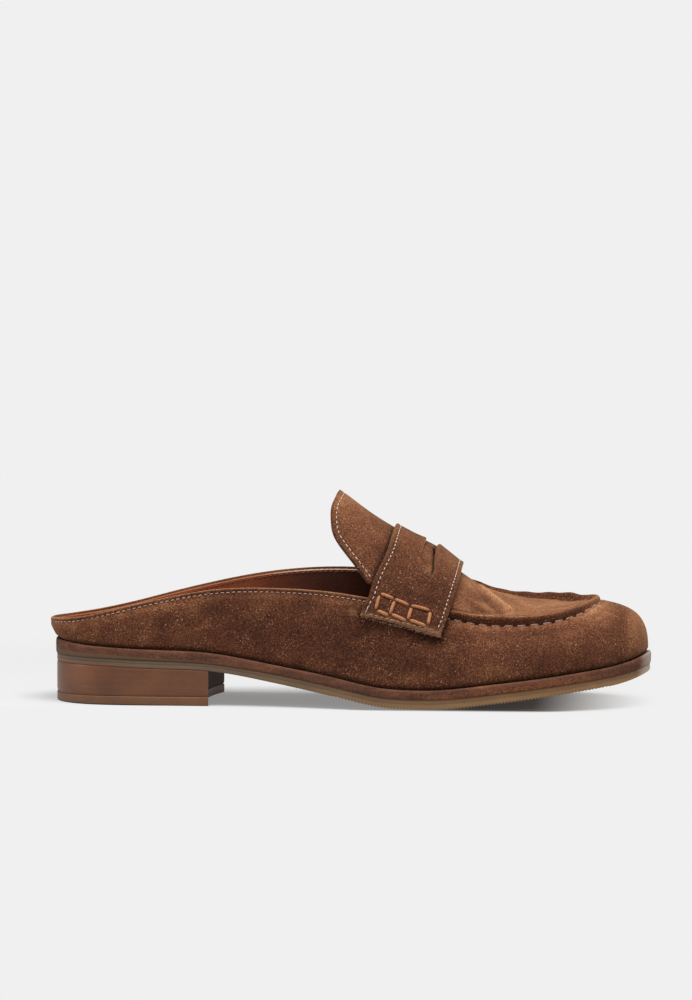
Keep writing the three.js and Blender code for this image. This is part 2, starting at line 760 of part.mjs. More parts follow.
function strap() {
  const sheet = new Sheet();
  const columns = 34;
  const rows = along(1, 0, 6).map((share) => {
    const end = lerp(STRAP_END_REAR, STRAP_END_FRONT, share);
    return along(-end, end, columns).map((across) => sheet.add(
      strapPoint(share, across),
      { lift: STRAP_FRONT_LIFT * smooth(share * 1.2) },
    ));
  });
  for (let j = 0; j + 1 < rows.length; j += 1) sheet.strip(rows[j], rows[j + 1]);
  const band = sheet.solid(
    (point, normal, mark) => offset(point, normal, CLEARANCE + mark.lift + STRAP_THICKNESS),
    (point, normal, mark) => offset(point, normal, CLEARANCE + mark.lift),
  );
  return fromManifold(toManifold(band).subtract(toManifold(slotCutter())));
}

const suede = { color: 0x6e442a, roughness: 0.95, metalness: 0 };
const pieces = [
  { name: 'outsole', make: outsole, look: { color: 0x6b5a40, roughness: 0.6, metalness: 0 } },
  { name: 'welt', make: welt, look: { color: 0x64412f, roughness: 0.6, metalness: 0 } },
  { name: 'heel_stack', make: heelStack, look: { color: 0x6e4632, roughness: 0.4, metalness: 0 } },
  { name: 'heel_lift', make: heelLift, look: { color: 0x78523a, roughness: 0.6, metalness: 0 } },
  { name: 'insole', make: insole, look: { color: 0x8c4b2d, roughness: 0.5, metalness: 0 } },
  { name: 'upper', make: upper, look: suede },
  { name: 'tongue', make: tongue, look: suede },
  { name: 'strap', make: strap, look: suede },
];

const shoe = new THREE.Group();
for (const { name, make, look } of pieces) {
  const mesh = new THREE.Mesh(make(), new THREE.MeshStandardMaterial(look));
  mesh.name = name;
  shoe.add(mesh);
}

export default shoe;
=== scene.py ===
"""The looks of a backless penny loafer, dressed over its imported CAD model.

Tables and shape functions are in millimetres in the model's own frame: +X runs to the toe, +Y to
the inner side of the foot and +Z up. Meshes are turned into metres when they are made.
"""

import math

import bpy
import numpy as np
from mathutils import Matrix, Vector
from mathutils.kdtree import KDTree


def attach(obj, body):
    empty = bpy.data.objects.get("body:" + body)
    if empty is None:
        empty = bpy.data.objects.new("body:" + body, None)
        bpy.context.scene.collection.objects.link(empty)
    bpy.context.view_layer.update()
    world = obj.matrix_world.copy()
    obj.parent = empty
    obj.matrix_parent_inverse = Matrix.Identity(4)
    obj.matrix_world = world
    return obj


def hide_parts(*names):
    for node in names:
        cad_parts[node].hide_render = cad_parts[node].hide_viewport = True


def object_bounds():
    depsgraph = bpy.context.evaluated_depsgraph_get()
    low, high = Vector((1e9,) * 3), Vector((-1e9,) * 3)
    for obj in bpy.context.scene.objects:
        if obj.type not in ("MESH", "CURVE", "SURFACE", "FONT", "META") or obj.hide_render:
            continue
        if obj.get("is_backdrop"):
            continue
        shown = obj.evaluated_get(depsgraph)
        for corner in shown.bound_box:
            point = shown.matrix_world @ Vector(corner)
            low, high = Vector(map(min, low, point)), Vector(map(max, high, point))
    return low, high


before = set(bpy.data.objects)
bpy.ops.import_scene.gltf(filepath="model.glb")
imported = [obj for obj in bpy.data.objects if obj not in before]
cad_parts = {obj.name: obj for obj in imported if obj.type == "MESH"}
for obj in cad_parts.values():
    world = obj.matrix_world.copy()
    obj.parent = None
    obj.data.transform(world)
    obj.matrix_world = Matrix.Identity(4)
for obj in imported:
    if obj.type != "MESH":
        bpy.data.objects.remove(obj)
cad_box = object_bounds()

MM = 0.001

# Driving sizes of the shoe
SOLE_LENGTH = 256
BALL_WIDTH = 87
HEEL_RISE = 17.3
TOE_SPRING = 14.6
WALL_HEIGHT = 43
INSTEP_RISE = 36.5
ARCH_FULLNESS = 0.35
HEEL_LENGTH = 69.4
LIFT_THICKNESS = 3.7
BREAST_HOLLOW = 4
OUTSOLE_THICKNESS = 4.3
WELT_THICKNESS = 4
OUTSOLE_INSET = 0.4
TREAD_SHOULDER = 7
HEEL_BACK = -HEEL_LENGTH / 2
WELT_MARGIN = 1.2
SUEDE_THICKNESS = 1.3
LINING_THICKNESS = 0.8
LINING_DROP = 0.9
LINING_BEVEL = 0.45
UPPER_WALL = 2.2
SEAM_HEIGHT = 3
SEAM_HALF_WIDTH = 1.75
SEAM_TOE_SHARE = 0.6
SEAM_PITCH = 5.2
TONGUE_WALL = 2
TONGUE_SUEDE = 1.2
TONGUE_TUCK = 3
THROAT_GAP = 1
STRAP_THICKNESS = 1.8
STRAP_REACH = 1.4
STRAP_FRONT_SWEEP = 5.2
STRAP_FRONT_BEND = 3
STRAP_FRONT_LIFT = 2
STRAP_END_REAR = 1.29
STRAP_END_FRONT = 1.437
SLOT_LENGTH = 42
SLOT_WAIST = 3.9
SLOT_END = 5.8
SLOT_TURN = 0.82
SLOT_DEPTH_MIDDLE = 1.5
SLOT_DEPTH_END = 0.45
SLOT_HIDDEN_EDGE = 0.35
INSOLE_THICKNESS = 2.6
CLEARANCE = 0.3
# Thin gaps that keep dressed pieces from sharing a face
JOINT_GAP = 0.04
CAP_GAP = 0.03
LIFT_TOP = LIFT_THICKNESS + 0.12
STACK_BOTTOM = LIFT_THICKNESS + 0.18

# Stitching
STITCH_PITCH = 2.4
STITCH_LENGTH = 1.65
STRAP_STITCH_LENGTH = 1.4
STITCH_RADIUS = 0.18
TOPLINE_INSET = 1.7
EDGE_ROW_INSET = 2.2
TONGUE_ROW_INSET = 2.4
CORD_RADIUS = 0.68
# Distance from a row of stitches that reads as away from every row
NO_ROW = 9.0
ROW_SAMPLES = 500

# Places along the sole, as shares of its length
THROAT = 0.599
STRAP_REAR = 0.571
STRAP_FRONT = 0.677
SLOT = 0.6265
SEAM_START = 0.63
SEAM_FULL = 0.693
SEAM_LOW = 0.85


def table(columns, *rows):
    """Named columns of a short table, each as an array."""
    return dict(zip(columns.split(), np.array(rows, float).T))


OUTLINE = table(
    "at outer inner",
    (0, 0, 0),
    (0.017, 0.18, 0.18),
    (0.055, 0.282, 0.282),
    (0.114, 0.327, 0.327),
    (0.173, 0.333, 0.333),
    (0.267, 0.333, 0.322),
    (0.369, 0.356, 0.305),
    (0.486, 0.425, 0.322),
    (0.565, 0.489, 0.368),
    (0.643, 0.522, 0.431),
    (0.722, 0.522, 0.477),
    (0.8, 0.489, 0.483),
    (0.878, 0.402, 0.431),
    (0.937, 0.305, 0.342),
    (0.973, 0.2, 0.24),
    (0.993, 0.098, 0.132),
    (1, -0.017, 0.017),
)
SOLE_LINE = table(
    "at heel spring outsole welt",
    (0, 1, 0, 0.72, 1.65),
    (0.06, 0.975, 0, 0.76, 1.28),
    (0.119, 0.942, 0, 0.8, 1.14),
    (0.177, 0.908, 0, 0.8, 1.12),
    (0.271, 0.86, 0, 0.74, 1.12),
    (0.372, 0.624, 0, 0.88, 0.94),
    (0.489, 0.283, 0, 0.98, 0.97),
    (0.559, 0.084, 0, 1.04, 0.94),
    (0.606, 0.05, 0, 1.04, 0.92),
    (0.657, 0.058, 0.005, 1.04, 0.94),
    (0.723, 0, 0.185, 1.03, 1),
    (0.821, 0, 0.397, 1.01, 0.95),
    (0.918, 0, 0.63, 0.94, 1),
    (0.973, 0, 0.83, 0.85, 1.1),
    (1, 0, 1, 0.72, 1.25),
)
OUTER_RIM = table(
    "at out rise",
    (-0.01, 0, 0.186),
    (0.01, 0.162, 0.212),
    (0.053, 0.248, 0.266),
    (0.119, 0.291, 0.381),
    (0.177, 0.299, 0.48),
    (0.271, 0.301, 0.609),
    (0.372, 0.324, 0.735),
    (0.489, 0.392, 0.827),
    (0.567, 0.417, 0.844),
    (0.641, 0.37, 0.76),
    (0.715, 0.347, 0.607),
    (0.777, 0.331, 0.534),
    (0.834, 0.282, 0.5),
    (0.874, 0.201, 0.5),
    (0.893, 0.128, 0.505),
    (0.905, 0.055, 0.495),
    (0.909, -0.02, 0.483),
)
INNER_RIM = table(
    "at out rise",
    (-0.01, 0, 0.186),
    (0.01, 0.16, 0.205),
    (0.053, 0.246, 0.261),
    (0.119, 0.291, 0.363),
    (0.177, 0.298, 0.469),
    (0.271, 0.287, 0.628),
    (0.372, 0.272, 0.83),
    (0.489, 0.29, 0.987),
    (0.567, 0.313, 1.04),
    (0.641, 0.32, 0.977),
    (0.715, 0.313, 0.807),
    (0.777, 0.299, 0.677),
    (0.834, 0.256, 0.6),
    (0.874, 0.19, 0.547),
    (0.893, 0.128, 0.52),
    (0.905, 0.072, 0.497),
    (0.909, 0.02, 0.483),
)
SECTION = table(
    "swell stand shoulder drop crown",
    (0.5, 0.3, 0.3, 0.4, 0),
    (0.6, 0.3, 0.3, 0.4, 0),
    (0.8, 0.35, 0.3, 0.4, 0),
    (1, 0.35, 0.3, 0.4, 0),
    (1, 0.35, 0.3, 0.4, 2.4),
    (0.8, 0.35, 0.3, 0.4, 1.95),
    (0.6, 0.35, 0.3, 0.4, 1.44),
    (0.6, 0.4, 0.4, 0.3, 1),
    (0.9, 0.45, 0.6, 0.16, 0.675),
    (1.2, 0.5, 0.6, 0.25, 0.43),
    (1.4, 0.5, 0.55, 0.25, 0.18),
    (1.2, 0.5, 0.55, 0.2, 0.115),
    (0.8, 0.55, 0.55, 0.12, 0.08),
    (0.5, 0.6, 0.62, 0.06, 0.045),
    (0.4, 0.64, 0.66, 0.03, 0.02),
    (0.4, 0.68, 0.7, 0, 0.006),
    (0.4, 0.68, 0.7, 0, 0),
)
# How far the strap's rear edge sweeps back, in millimetres, at places across the form
STRAP_REAR_LINE = table(
    "across back",
    (0, 0),
    (0.2, 0.1),
    (0.4, 0.6),
    (0.55, 1.3),
    (0.68, 2.6),
    (0.8, 4.5),
    (0.92, 6.6),
    (1.05, 8.5),
    (1.18, 9.9),
    (1.29, 10.8),
    (1.4, 11.7),
)
TONGUE_END = table(
    "across at",
    (-1, 0.565),
    (-0.91, 0.538),
    (-0.8, 0.508),
    (-0.7, 0.481),
    (-0.6, 0.473),
    (-0.45, 0.472),
    (-0.25, 0.477),
    (0, 0.48),
    (0.25, 0.477),
    (0.45, 0.473),
    (0.6, 0.475),
    (0.7, 0.482),
    (0.8, 0.5),
    (0.91, 0.524),
    (1, 0.545),
)


def lerp(a, b, share):
    return a + (b - a) * share


def smooth(value):
    share = np.clip(value, 0, 1)
    return share * share * (3 - 2 * share)


def bell(value):
    return np.exp(-np.square(value))


def stack(x, y, z):
    return np.stack(np.broadcast_arrays(x, y, z), axis=-1).astype(float)


def unit(vectors):
    return vectors / np.maximum(np.linalg.norm(vectors, axis=-1, keepdims=True), 1e-9)


def curve(knots, values, period=0.0):
    """A smooth cubic curve through values at knots: open with free ends, or closed over a period."""
    knots = np.asarray(knots, float)
    values = np.asarray(values, float)
    count = len(knots)
    closed = period > 0
    step = np.diff(np.append(knots, knots[0] + period)) if closed else np.diff(knots)
    spans = len(step)
    matrix = np.zeros((count, count))
    right = np.zeros(count)
    for i in range(count):
        if not closed and i in (0, count - 1):
            matrix[i, i] = 1
            continue
        after = (i + 1) % count
        left = step[i - 1]
        matrix[i, i - 1] += left
        matrix[i, i] += 2 * (left + step[i])
        matrix[i, after] += step[i]
        right[i] = 6 * ((values[after] - values[i]) / step[i] - (values[i] - values[i - 1]) / left)
    bend = np.linalg.solve(matrix, right)

    def at(place):
        local = np.asarray(place, float)
        if closed:
            local = np.mod(local - knots[0], period) + knots[0]
        i = np.clip(np.searchsorted(knots, local) - 1, 0, spans - 1)
        after = (i + 1) % count
        width = step[i]
        b = (local - knots[i]) / width
        a = 1 - b
        straight = a * values[i] + b * values[after]
        return straight + ((a**3 - a) * bend[i] + (b**3 - b) * bend[after]) * width * width / 6

    return at


def along_sole(share):
    return HEEL_BACK + share * SOLE_LENGTH


# Curves of the sole's side view, and of its plan and the rim over the walk around the outline.
# Places from 0 to TOE go along the outer side, and on to LOOP back along the inner side.
line_knots = along_sole(SOLE_LINE["at"])
lower_edge = curve(line_knots, SOLE_LINE["heel"] * HEEL_RISE + SOLE_LINE["spring"] * TOE_SPRING)
outsole_depth = curve(line_knots, SOLE_LINE["outsole"] * OUTSOLE_THICKNESS)
welt_depth = curve(line_knots, SOLE_LINE["welt"] * WELT_THICKNESS)


def outsole_top(x):
    return lower_edge(x) + outsole_depth(x)


def welt_top(x):
    return outsole_top(x) + welt_depth(x)


outline_knots = along_sole(OUTLINE["at"])
side_steps = [
    np.hypot(np.diff(outline_knots), np.diff(OUTLINE[side] * BALL_WIDTH))
    for side in ("outer", "inner")
]
stations = np.concatenate([[0], np.cumsum(sum(side_steps) / 2)])
TOE = stations[-1]
LOOP = 2 * TOE
loop_knots = np.concatenate([stations, LOOP - stations[-2:0:-1]])


def around_loop(outer, inner):
    return curve(loop_knots, np.concatenate([outer, inner[-2:0:-1]]), LOOP)


def section_curve(name):
    open_curve = curve(stations, SECTION[name])
    return lambda place: open_curve(TOE - np.abs(TOE - np.mod(place, LOOP)))


outline_x = around_loop(outline_knots, outline_knots)
outline_y = around_loop(-OUTLINE["outer"] * BALL_WIDTH, OUTLINE["inner"] * BALL_WIDTH)
rim_x = around_loop(along_sole(OUTER_RIM["at"]), along_sole(INNER_RIM["at"]))
rim_y = around_loop(-OUTER_RIM["out"] * BALL_WIDTH, INNER_RIM["out"] * BALL_WIDTH)
rim_rise = around_loop(OUTER_RIM["rise"] * WALL_HEIGHT, INNER_RIM["rise"] * WALL_HEIGHT)
swell, stand, shoulder, drop_share, crown_share = (
    section_curve(name) for name in ("swell", "stand", "shoulder", "drop", "crown")
)


def plan_point(place, inset):
    """Plan point of the outline moved inwards, and the outward direction there."""
    reach = 0.05
    dx = outline_x(place + reach) - outline_x(place - reach)
    dy = outline_y(place + reach) - outline_y(place - reach)
    size = np.hypot(dx, dy)
    out_x, out_y = dy / size, -dx / size
    return outline_x(place) - out_x * inset, outline_y(place) - out_y * inset, out_x, out_y


def rim_point(place):
    foot_x = plan_point(place, WELT_MARGIN)[0]
    return stack(rim_x(place), rim_y(place), welt_top(foot_x) + CLEARANCE + rim_rise(place))


def wall_point(place, share):
    """Point of the wall's outer face, from the welt (share 0) to the rim (share 1)."""
    place, share = np.broadcast_arrays(np.asarray(place, float), np.asarray(share, float))
    x, y, out_x, out_y = plan_point(place, WELT_MARGIN)
    foot = stack(x, y, welt_top(x) + CLEARANCE)
    rim = rim_point(place)
    height = rim[..., 2] - foot[..., 2]
    upright = foot + stack(out_x * swell(place), out_y * swell(place), height * stand(place))
    turn = lerp(rim, foot, shoulder(place)[..., None])
    turn[..., 2] = rim[..., 2] - height * drop_share(place)
    t = share[..., None]
    return (
        foot * (1 - t) ** 3 + 3 * upright * t * (1 - t) ** 2 + 3 * turn * t**2 * (1 - t) + rim * t**3
    )


def arch_share(across):
    return lerp(np.cos(across * math.pi / 2), 1 - across**4, ARCH_FULLNESS)


def arch_point(first, second, place, across):
    """Arched top between two edge points, across from -1 at the first to 1 at the second."""
    point = lerp(first, second, ((across + 1) / 2)[..., None])
    point[..., 2] += crown_share(place) * INSTEP_RISE * arch_share(across)
    return point


def instep_point(place, across):
    """Whole form over the foot: -2 at the outer welt, -1 and 1 at the rims, 2 at the inner welt."""
    place, across = np.broadcast_arrays(np.asarray(place, float), np.asarray(across, float))
    top = arch_point(rim_point(place), rim_point(LOOP - place), place, np.clip(across, -1, 1))
    outer = wall_point(place, np.clip(across + 2, 0, 1))
    inner = wall_point(LOOP - place, np.clip(2 - across, 0, 1))
    side = across[..., None]
    return np.where(side < -1, outer, np.where(side > 1, inner, top))


def find_station(measure, value):
    """Station where a rising measure reaches a value, found by halving."""
    value = np.asarray(value, float)
    low = np.zeros(value.shape)
    high = np.full(value.shape, TOE)
    for _ in range(40):
        middle = (low + high) / 2
        below = measure(middle) < value
        low = np.where(below, middle, low)
        high = np.where(below, high, middle)
    return (low + high) / 2


strap_rear_sweep = curve(STRAP_REAR_LINE["across"], STRAP_REAR_LINE["back"])


def station_at(x):
    return find_station(lambda place: (rim_x(place) + rim_x(LOOP - place)) / 2, x)


THROAT_STATION = float(station_at(along_sole(THROAT)))
TONGUE_STATION = float(station_at(along_sole(THROAT) - THROAT_GAP))


def strap_place(share, across):
    reach = np.minimum(np.abs(across), STRAP_REACH)
    fall = reach / STRAP_REACH
    rear = along_sole(STRAP_REAR) - strap_rear_sweep(reach)
    front = along_sole(STRAP_FRONT) - STRAP_FRONT_SWEEP * fall**STRAP_FRONT_BEND
    return station_at(lerp(rear, front, share))


def strap_point(share, across):
    """Form under the strap: share 0 at its rear edge and 1 at its front edge."""
    return instep_point(strap_place(share, across), across)


def walked(points):
    """Distance walked along a row of points."""
    steps = np.linalg.norm(np.diff(points, axis=0), axis=1)
    return np.concatenate([[0], np.cumsum(steps)])


# Distance along the rim from the back of the heel, the same way on both sides
RIM_SAMPLES = np.linspace(0, TOE, 1500)
outer_run = walked(rim_point(RIM_SAMPLES))
inner_run = walked(rim_point(LOOP - RIM_SAMPLES))


def rim_run(place):
    outer = np.interp(place, RIM_SAMPLES, outer_run)
    inner = np.interp(LOOP - np.asarray(place), RIM_SAMPLES, inner_run)
    return np.where(np.asarray(place) <= TOE, outer, inner)


class WallLines:
    """Lines down the wall at given places, walked from the rim in millimetres."""

    def __init__(self, places):
        self.places = np.asarray(places, float)
        self.shares = np.linspace(1, 0, 97)
        lines = wall_point(self.places[:, None], self.shares)
        steps = np.linalg.norm(np.diff(lines, axis=1), axis=2)
        start = np.zeros((len(self.places), 1))
        self.lengths = np.concatenate([start, np.cumsum(steps, axis=1)], axis=1)
        self.total = self.lengths[:, -1]

    def at(self, drop):
        drops = np.broadcast_to(drop, self.places.shape)
        share = [np.interp(d, line, self.shares) for d, line in zip(drops, self.lengths)]
        return wall_point(self.places, np.array(share))


def seam_share(place):
    """How fully the moccasin seam stands at a place, from 0 to 1."""
    x = rim_x(place)
    start, full, low = (along_sole(share) for share in (SEAM_START, SEAM_FULL, SEAM_LOW))
    rising = smooth((x - start) / (full - start))
    falling = smooth((x - low) / (rim_x(TOE) - low))
    return rising * lerp(1, SEAM_TOE_SHARE, falling)


def ripple(points, length, seed):
    """Smooth irregular waves of about the given length, from -1 to 1, the same at each run."""
    draws = np.random.default_rng(seed)
    directions = unit(draws.normal(size=(7, 3)))
    phases = draws.uniform(0, 2 * math.pi, 7)
    lengths = length * draws.uniform(0.7, 1.4, 7)
    waves = np.sin(points @ directions.T * (2 * math.pi / lengths) + phases)
    return waves.sum(axis=1) / 4


class Sheet:
    """Rows of points joined to faces, with named numbers at each point."""

    def __init__(self):
        self.blocks = []
        self.marks = {}
        self.count = 0
        self.faces = []

    def add(self, points, **marks):
        points = np.atleast_2d(points)
        self.blocks.append(points)
        for name, value in marks.items():
            self.marks.setdefault(name, []).append(np.broadcast_to(value, len(points)).astype(float))
        first = self.count
        self.count += len(points)
        return np.arange(first, self.count)

    def strip(self, first, second, closed=False):
        """Quads between two rows of equal length."""
        if closed:
            first = np.append(first, first[0])
            second = np.append(second, second[0])
        quads = np.stack([first[:-1], first[1:], second[1:], second[:-1]], axis=1)
        self.faces.extend(quads.tolist())

    def fan(self, row, tip):
        self.faces.extend([int(a), int(b), int(tip)] for a, b in zip(row[:-1], row[1:]))

    @property
    def points(self):
        return np.concatenate(self.blocks)

    def mark(self, name):
        return np.concatenate(self.marks[name])


def triangles(faces):
    """Faces of three or four corners as triangles."""
    parts = [[f[0], f[1], f[2]] for f in faces]
    parts += [[f[0], f[2], f[3]] for f in faces if len(f) == 4]
    return np.array(parts)


def vertex_normals(points, faces):
    corners = triangles(faces)
    a, b, c = (points[corners[:, i]] for i in range(3))
    cross = np.cross(b - a, c - a)
    normals = np.zeros_like(points)
    for i in range(3):
        np.add.at(normals, corners[:, i], cross)
    return unit(normals)


def open_edges(faces):
    """Edges of only one face, each in the direction in which that face runs."""
    half_edges = {(a, b) for face in faces for a, b in zip(face, face[1:] + face[:1])}
    return sorted((a, b) for a, b in half_edges if (b, a) not in half_edges)


def solid_between(layers, faces):
    """Points and faces of the solid through moved copies of a sheet, from its outer skin inwards.

    The faces come in order: outer skin, inner skin, then a band of sides for each gap between
    layers. The number of faces in one band is given as well.
    """
    count = len(layers[0])
    border = open_edges(faces)
    last = (len(layers) - 1) * count
    inner = [[i + last for i in reversed(face)] for face in faces]
    sides = [
        [a + first, a + first + count, b + first + count, b + first]
        for first in range(0, last, count)
        for a, b in border
    ]
    return np.concatenate(layers), [*faces, *inner, *sides], len(border)


def nearest(points, samples):
    """Distance to the nearest sample, and which it is, for each point."""
    tree = KDTree(len(samples))
    for i, sample in enumerate(samples):
        tree.insert(sample, i)
    tree.balance()
    found = [tree.find(point) for point in points]
    return np.array([f[2] for f in found]), np.array([f[1] for f in found])


def enclosed(points, faces):
    corners = triangles(faces)
    a, b, c = (points[corners[:, i]] for i in range(3))
    return float(np.einsum("ij,ij->i", a, np.cross(b, c)).sum())


def make_piece(
    name, points, faces, materials, slot=None, replaces=(), marks=None, indices=None, crease=40
):
    """A mesh object from points in millimetres, with its faces turned outwards."""
    if enclosed(points, faces) < 0:
        faces = [face[::-1] for face in faces]
    mesh = bpy.data.meshes.new(name)
    mesh.from_pydata((points * MM).tolist(), [], faces)
    for mark, values in (marks or {}).items():
        layer = mesh.attributes.new(mark, "FLOAT", "POINT")
        layer.data.foreach_set("value", np.asarray(values, np.float32))
    for material in materials:
        mesh.materials.append(material)
    if indices is not None:
        mesh.polygons.foreach_set("material_index", np.asarray(indices, np.int32))
    mesh.shade_smooth()
    mesh.set_sharp_from_angle(angle=math.radians(crease))
    mesh.update()
    piece = bpy.data.objects.new(name, mesh)
    bpy.context.scene.collection.objects.link(piece)
    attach(piece, "root")
    if replaces:
        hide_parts(*replaces)
    return piece


def linear(red, green, blue):
    """Scene colour of a picture colour given from 0 to 255."""

    def channel(value):
        share = value / 255
        return share / 12.92 if share <= 0.04045 else ((share + 0.055) / 1.055) ** 2.4

    return (channel(red), channel(green), channel(blue), 1)


class Finish:
    """A material and short calls that build its nodes. Sizes of patterns are in millimetres."""

    def __init__(self, name, **settings):
        self.material = bpy.data.materials.new(name)
        self.material.use_nodes = True
        self.tree = self.material.node_tree
        self.shader = self.tree.nodes["Principled BSDF"]
        self.position = self.tree.nodes.new("ShaderNodeTexCoord").outputs["Object"]
        for socket, value in settings.items():
            self.shader.inputs[socket.replace("_", " ")].default_value = value

    def node(self, kind, inputs, **settings):
        node = self.tree.nodes.new(kind)
        for name, value in settings.items():
            setattr(node, name, value)
        for key, value in inputs.items():
            if isinstance(value, bpy.types.NodeSocket):
                self.tree.links.new(value, node.inputs[key])
            else:
                node.inputs[key].default_value = value
        return node

    def mark(self, name):
        return self.node("ShaderNodeAttribute", {}, attribute_name=name).outputs["Fac"]

    def axis(self, name, vector=None):
        """One coordinate of the place on the shoe in metres, or of another vector."""
        source = self.position if vector is None else vector
        return self.node("ShaderNodeSeparateXYZ", {"Vector": source}).outputs[name]

    def gap_to(self, place):
        """Distance to a place, in metres."""
        inputs = {0: self.position, 1: place}
        return self.node("ShaderNodeVectorMath", inputs, operation="DISTANCE").outputs["Value"]

    def math(self, operation, first, second=0.0, third=0.0):
        inputs = {0: first, 1: second, 2: third}
        return self.node("ShaderNodeMath", inputs, operation=operation).outputs[0]

    def vary(self, level, field, weight):
        """A level raised and lowered by a field around its middle."""
        return self.math("MULTIPLY_ADD", self.math("SUBTRACT", field, 0.5), weight, level)

    def noise(self, size, detail=2.0, rough=0.55, stretch=(1, 1, 1), twist=0.0):
        scaled = self.node(
            "ShaderNodeMapping", {"Vector": self.position, "Scale": [s / (size * MM) for s in stretch]}
        )
        inputs = {
            "Vector": scaled.outputs[0],
            "Scale": 1.0,
            "Detail": detail,
            "Roughness": rough,
            "Distortion": twist,
        }
        return self.node("ShaderNodeTexNoise", inputs).outputs["Fac"]

    def cells(self, size):
        scaled = self.node("ShaderNodeMapping", {"Vector": self.position, "Scale": [1 / (size * MM)] * 3})
        return self.node("ShaderNodeTexVoronoi", {"Vector": scaled.outputs[0], "Scale": 1.0})

    def span(self, value, low, high, start=0.0, end=1.0):
        inputs = {0: value, 1: low, 2: high, 3: start, 4: end}
        return self.node("ShaderNodeMapRange", inputs, interpolation_type="SMOOTHSTEP").outputs[0]

    def ramp(self, value, *stops):
        node = self.node("ShaderNodeValToRGB", {"Fac": value})
        elements = node.color_ramp.elements
        while len(elements) < len(stops):
            elements.new(0.5)
        for element, (place, colour) in zip(elements, stops):
            element.position = place
            element.color = linear(*colour)
        return node.outputs["Color"]

    def mix(self, share, first, second, blend="MIX"):
        inputs = {0: share, 6: first, 7: second}
        return self.node("ShaderNodeMix", inputs, data_type="RGBA", blend_type=blend).outputs[2]

    def glare(self, colour, low, high, start, end, tint):
        """Colour washed out by bright surroundings where the shoe turns away at its two ends."""
        wash = self.span(self.axis("X"), low * MM, high * MM, start, end)
        return self.mix(wash, colour, linear(*tint))

    def relief(self, height, depth, before=None):
        """Bump of a height field that spans the given depth in millimetres."""
        inputs = {"Height": height, "Distance": depth * MM, "Strength": 1.0}
        if before is not None:
            inputs["Normal"] = before
        return self.node("ShaderNodeBump", inputs).outputs[0]

    def use(self, **sockets):
        for socket, value in sockets.items():
            self.tree.links.new(value, self.shader.inputs[socket.replace("_", " ")])
        return self.material


# Finishes

# Glare at the shoe's two ends: from and to along the shoe, its strength at both, and its colour
REAR_GLARE = (-36.8, -34.6, 0.55, 0.0, (150, 138, 130))
WELT_TOE_GLARE = (216, 221, 0.0, 0.6, (196, 180, 168))
OUTSOLE_TOE_GLARE = (215, 220, 0.0, 0.5, (206, 190, 172))


def suede():
    """Brushed brown suede: soft patches of nap, short pale fibres, painted light and shade from its tone
    mark, and the holes of its seams, darkened with painted shade.
    """
    finish = Finish(
        "suede",
        Roughness=0.95,
        Specular_IOR_Level=0.08,
        Sheen_Weight=0.42,
        Sheen_Roughness=0.4,
        Sheen_Tint=linear(214, 164, 120),
    )
    patches = finish.noise(17, 3, 0.6, twist=0.5)
    brushed = finish.noise(4.2, 3, 0.6, (1, 1, 0.7), twist=0.8)
    nap = finish.noise(0.9, 3, 0.65, twist=0.3)
    grain = finish.noise(0.5, 2, 0.6)
    # The tone mark carries the nap's patches together with painted light and shade
    level = finish.math("MULTIPLY_ADD", finish.mark("tone"), 0.5, 0.5)
    for field, weight in ((patches, 0.26), (brushed, 0.26), (nap, 0.42), (grain, 1.15)):
        level = finish.vary(level, field, weight)
    colour = finish.ramp(
        level,
        (0.0, (34, 17, 11)),
        (0.25, (62, 34, 23)),
        (0.5, (98, 59, 40)),
        (0.75, (140, 95, 65)),
        (1.0, (190, 144, 106)),
    )
    zone = finish.span(finish.noise(9, 2, 0.5), 0.4, 0.62, 0.12, 1.0)
    for stretch, size, share in (((1, 1, 0.6), 0.55, 0.6), ((0.45, 1, 1), 0.5, 0.4)):
        flecks = finish.span(finish.noise(size, 1, 0.5, stretch, 0.2), 0.66, 0.74)
        flecks = finish.math("MULTIPLY", finish.math("MULTIPLY", flecks, zone), share)
        colour = finish.mix(flecks, colour, linear(194, 146, 110))
    # Stitch holes: painted shade darkens each hole, and a bump sinks it
    along = finish.math("SUBTRACT", finish.math("FRACT", finish.mark("holes")), 0.5)
    along = finish.math("ABSOLUTE", along)
    along = finish.math("MULTIPLY", finish.math("SUBTRACT", 0.5, along), STITCH_PITCH)
    off = finish.mark("row")
    squares = finish.math("MULTIPLY_ADD", along, along, finish.math("MULTIPLY", off, off))
    holes = finish.span(finish.math("SQRT", squares), 0.2, 0.5, 1.0, 0.0)
    colour = finish.mix(finish.math("MULTIPLY", holes, 0.6), colour, linear(34, 18, 12))
    edge = finish.math("MULTIPLY", finish.mark("edge"), finish.span(nap, 0.3, 0.6, 0.25, 0.7))
    colour = finish.mix(edge, colour, linear(172, 126, 90))
    for place, reach, share, tint in SPOTS:
        gap = finish.gap_to([c * MM for c in place])
        spot = finish.span(gap, reach * 0.5 * MM, reach * MM, share, 0.0)
        colour = finish.mix(spot, colour, linear(*tint))
    normal = finish.relief(brushed, 0.2)
    normal = finish.relief(nap, 0.2, normal)
    normal = finish.relief(grain, 0.16, normal)
    normal = finish.relief(finish.math("SUBTRACT", 1.0, holes), 0.3, normal)
    return finish.use(Base_Color=colour, Normal=normal)


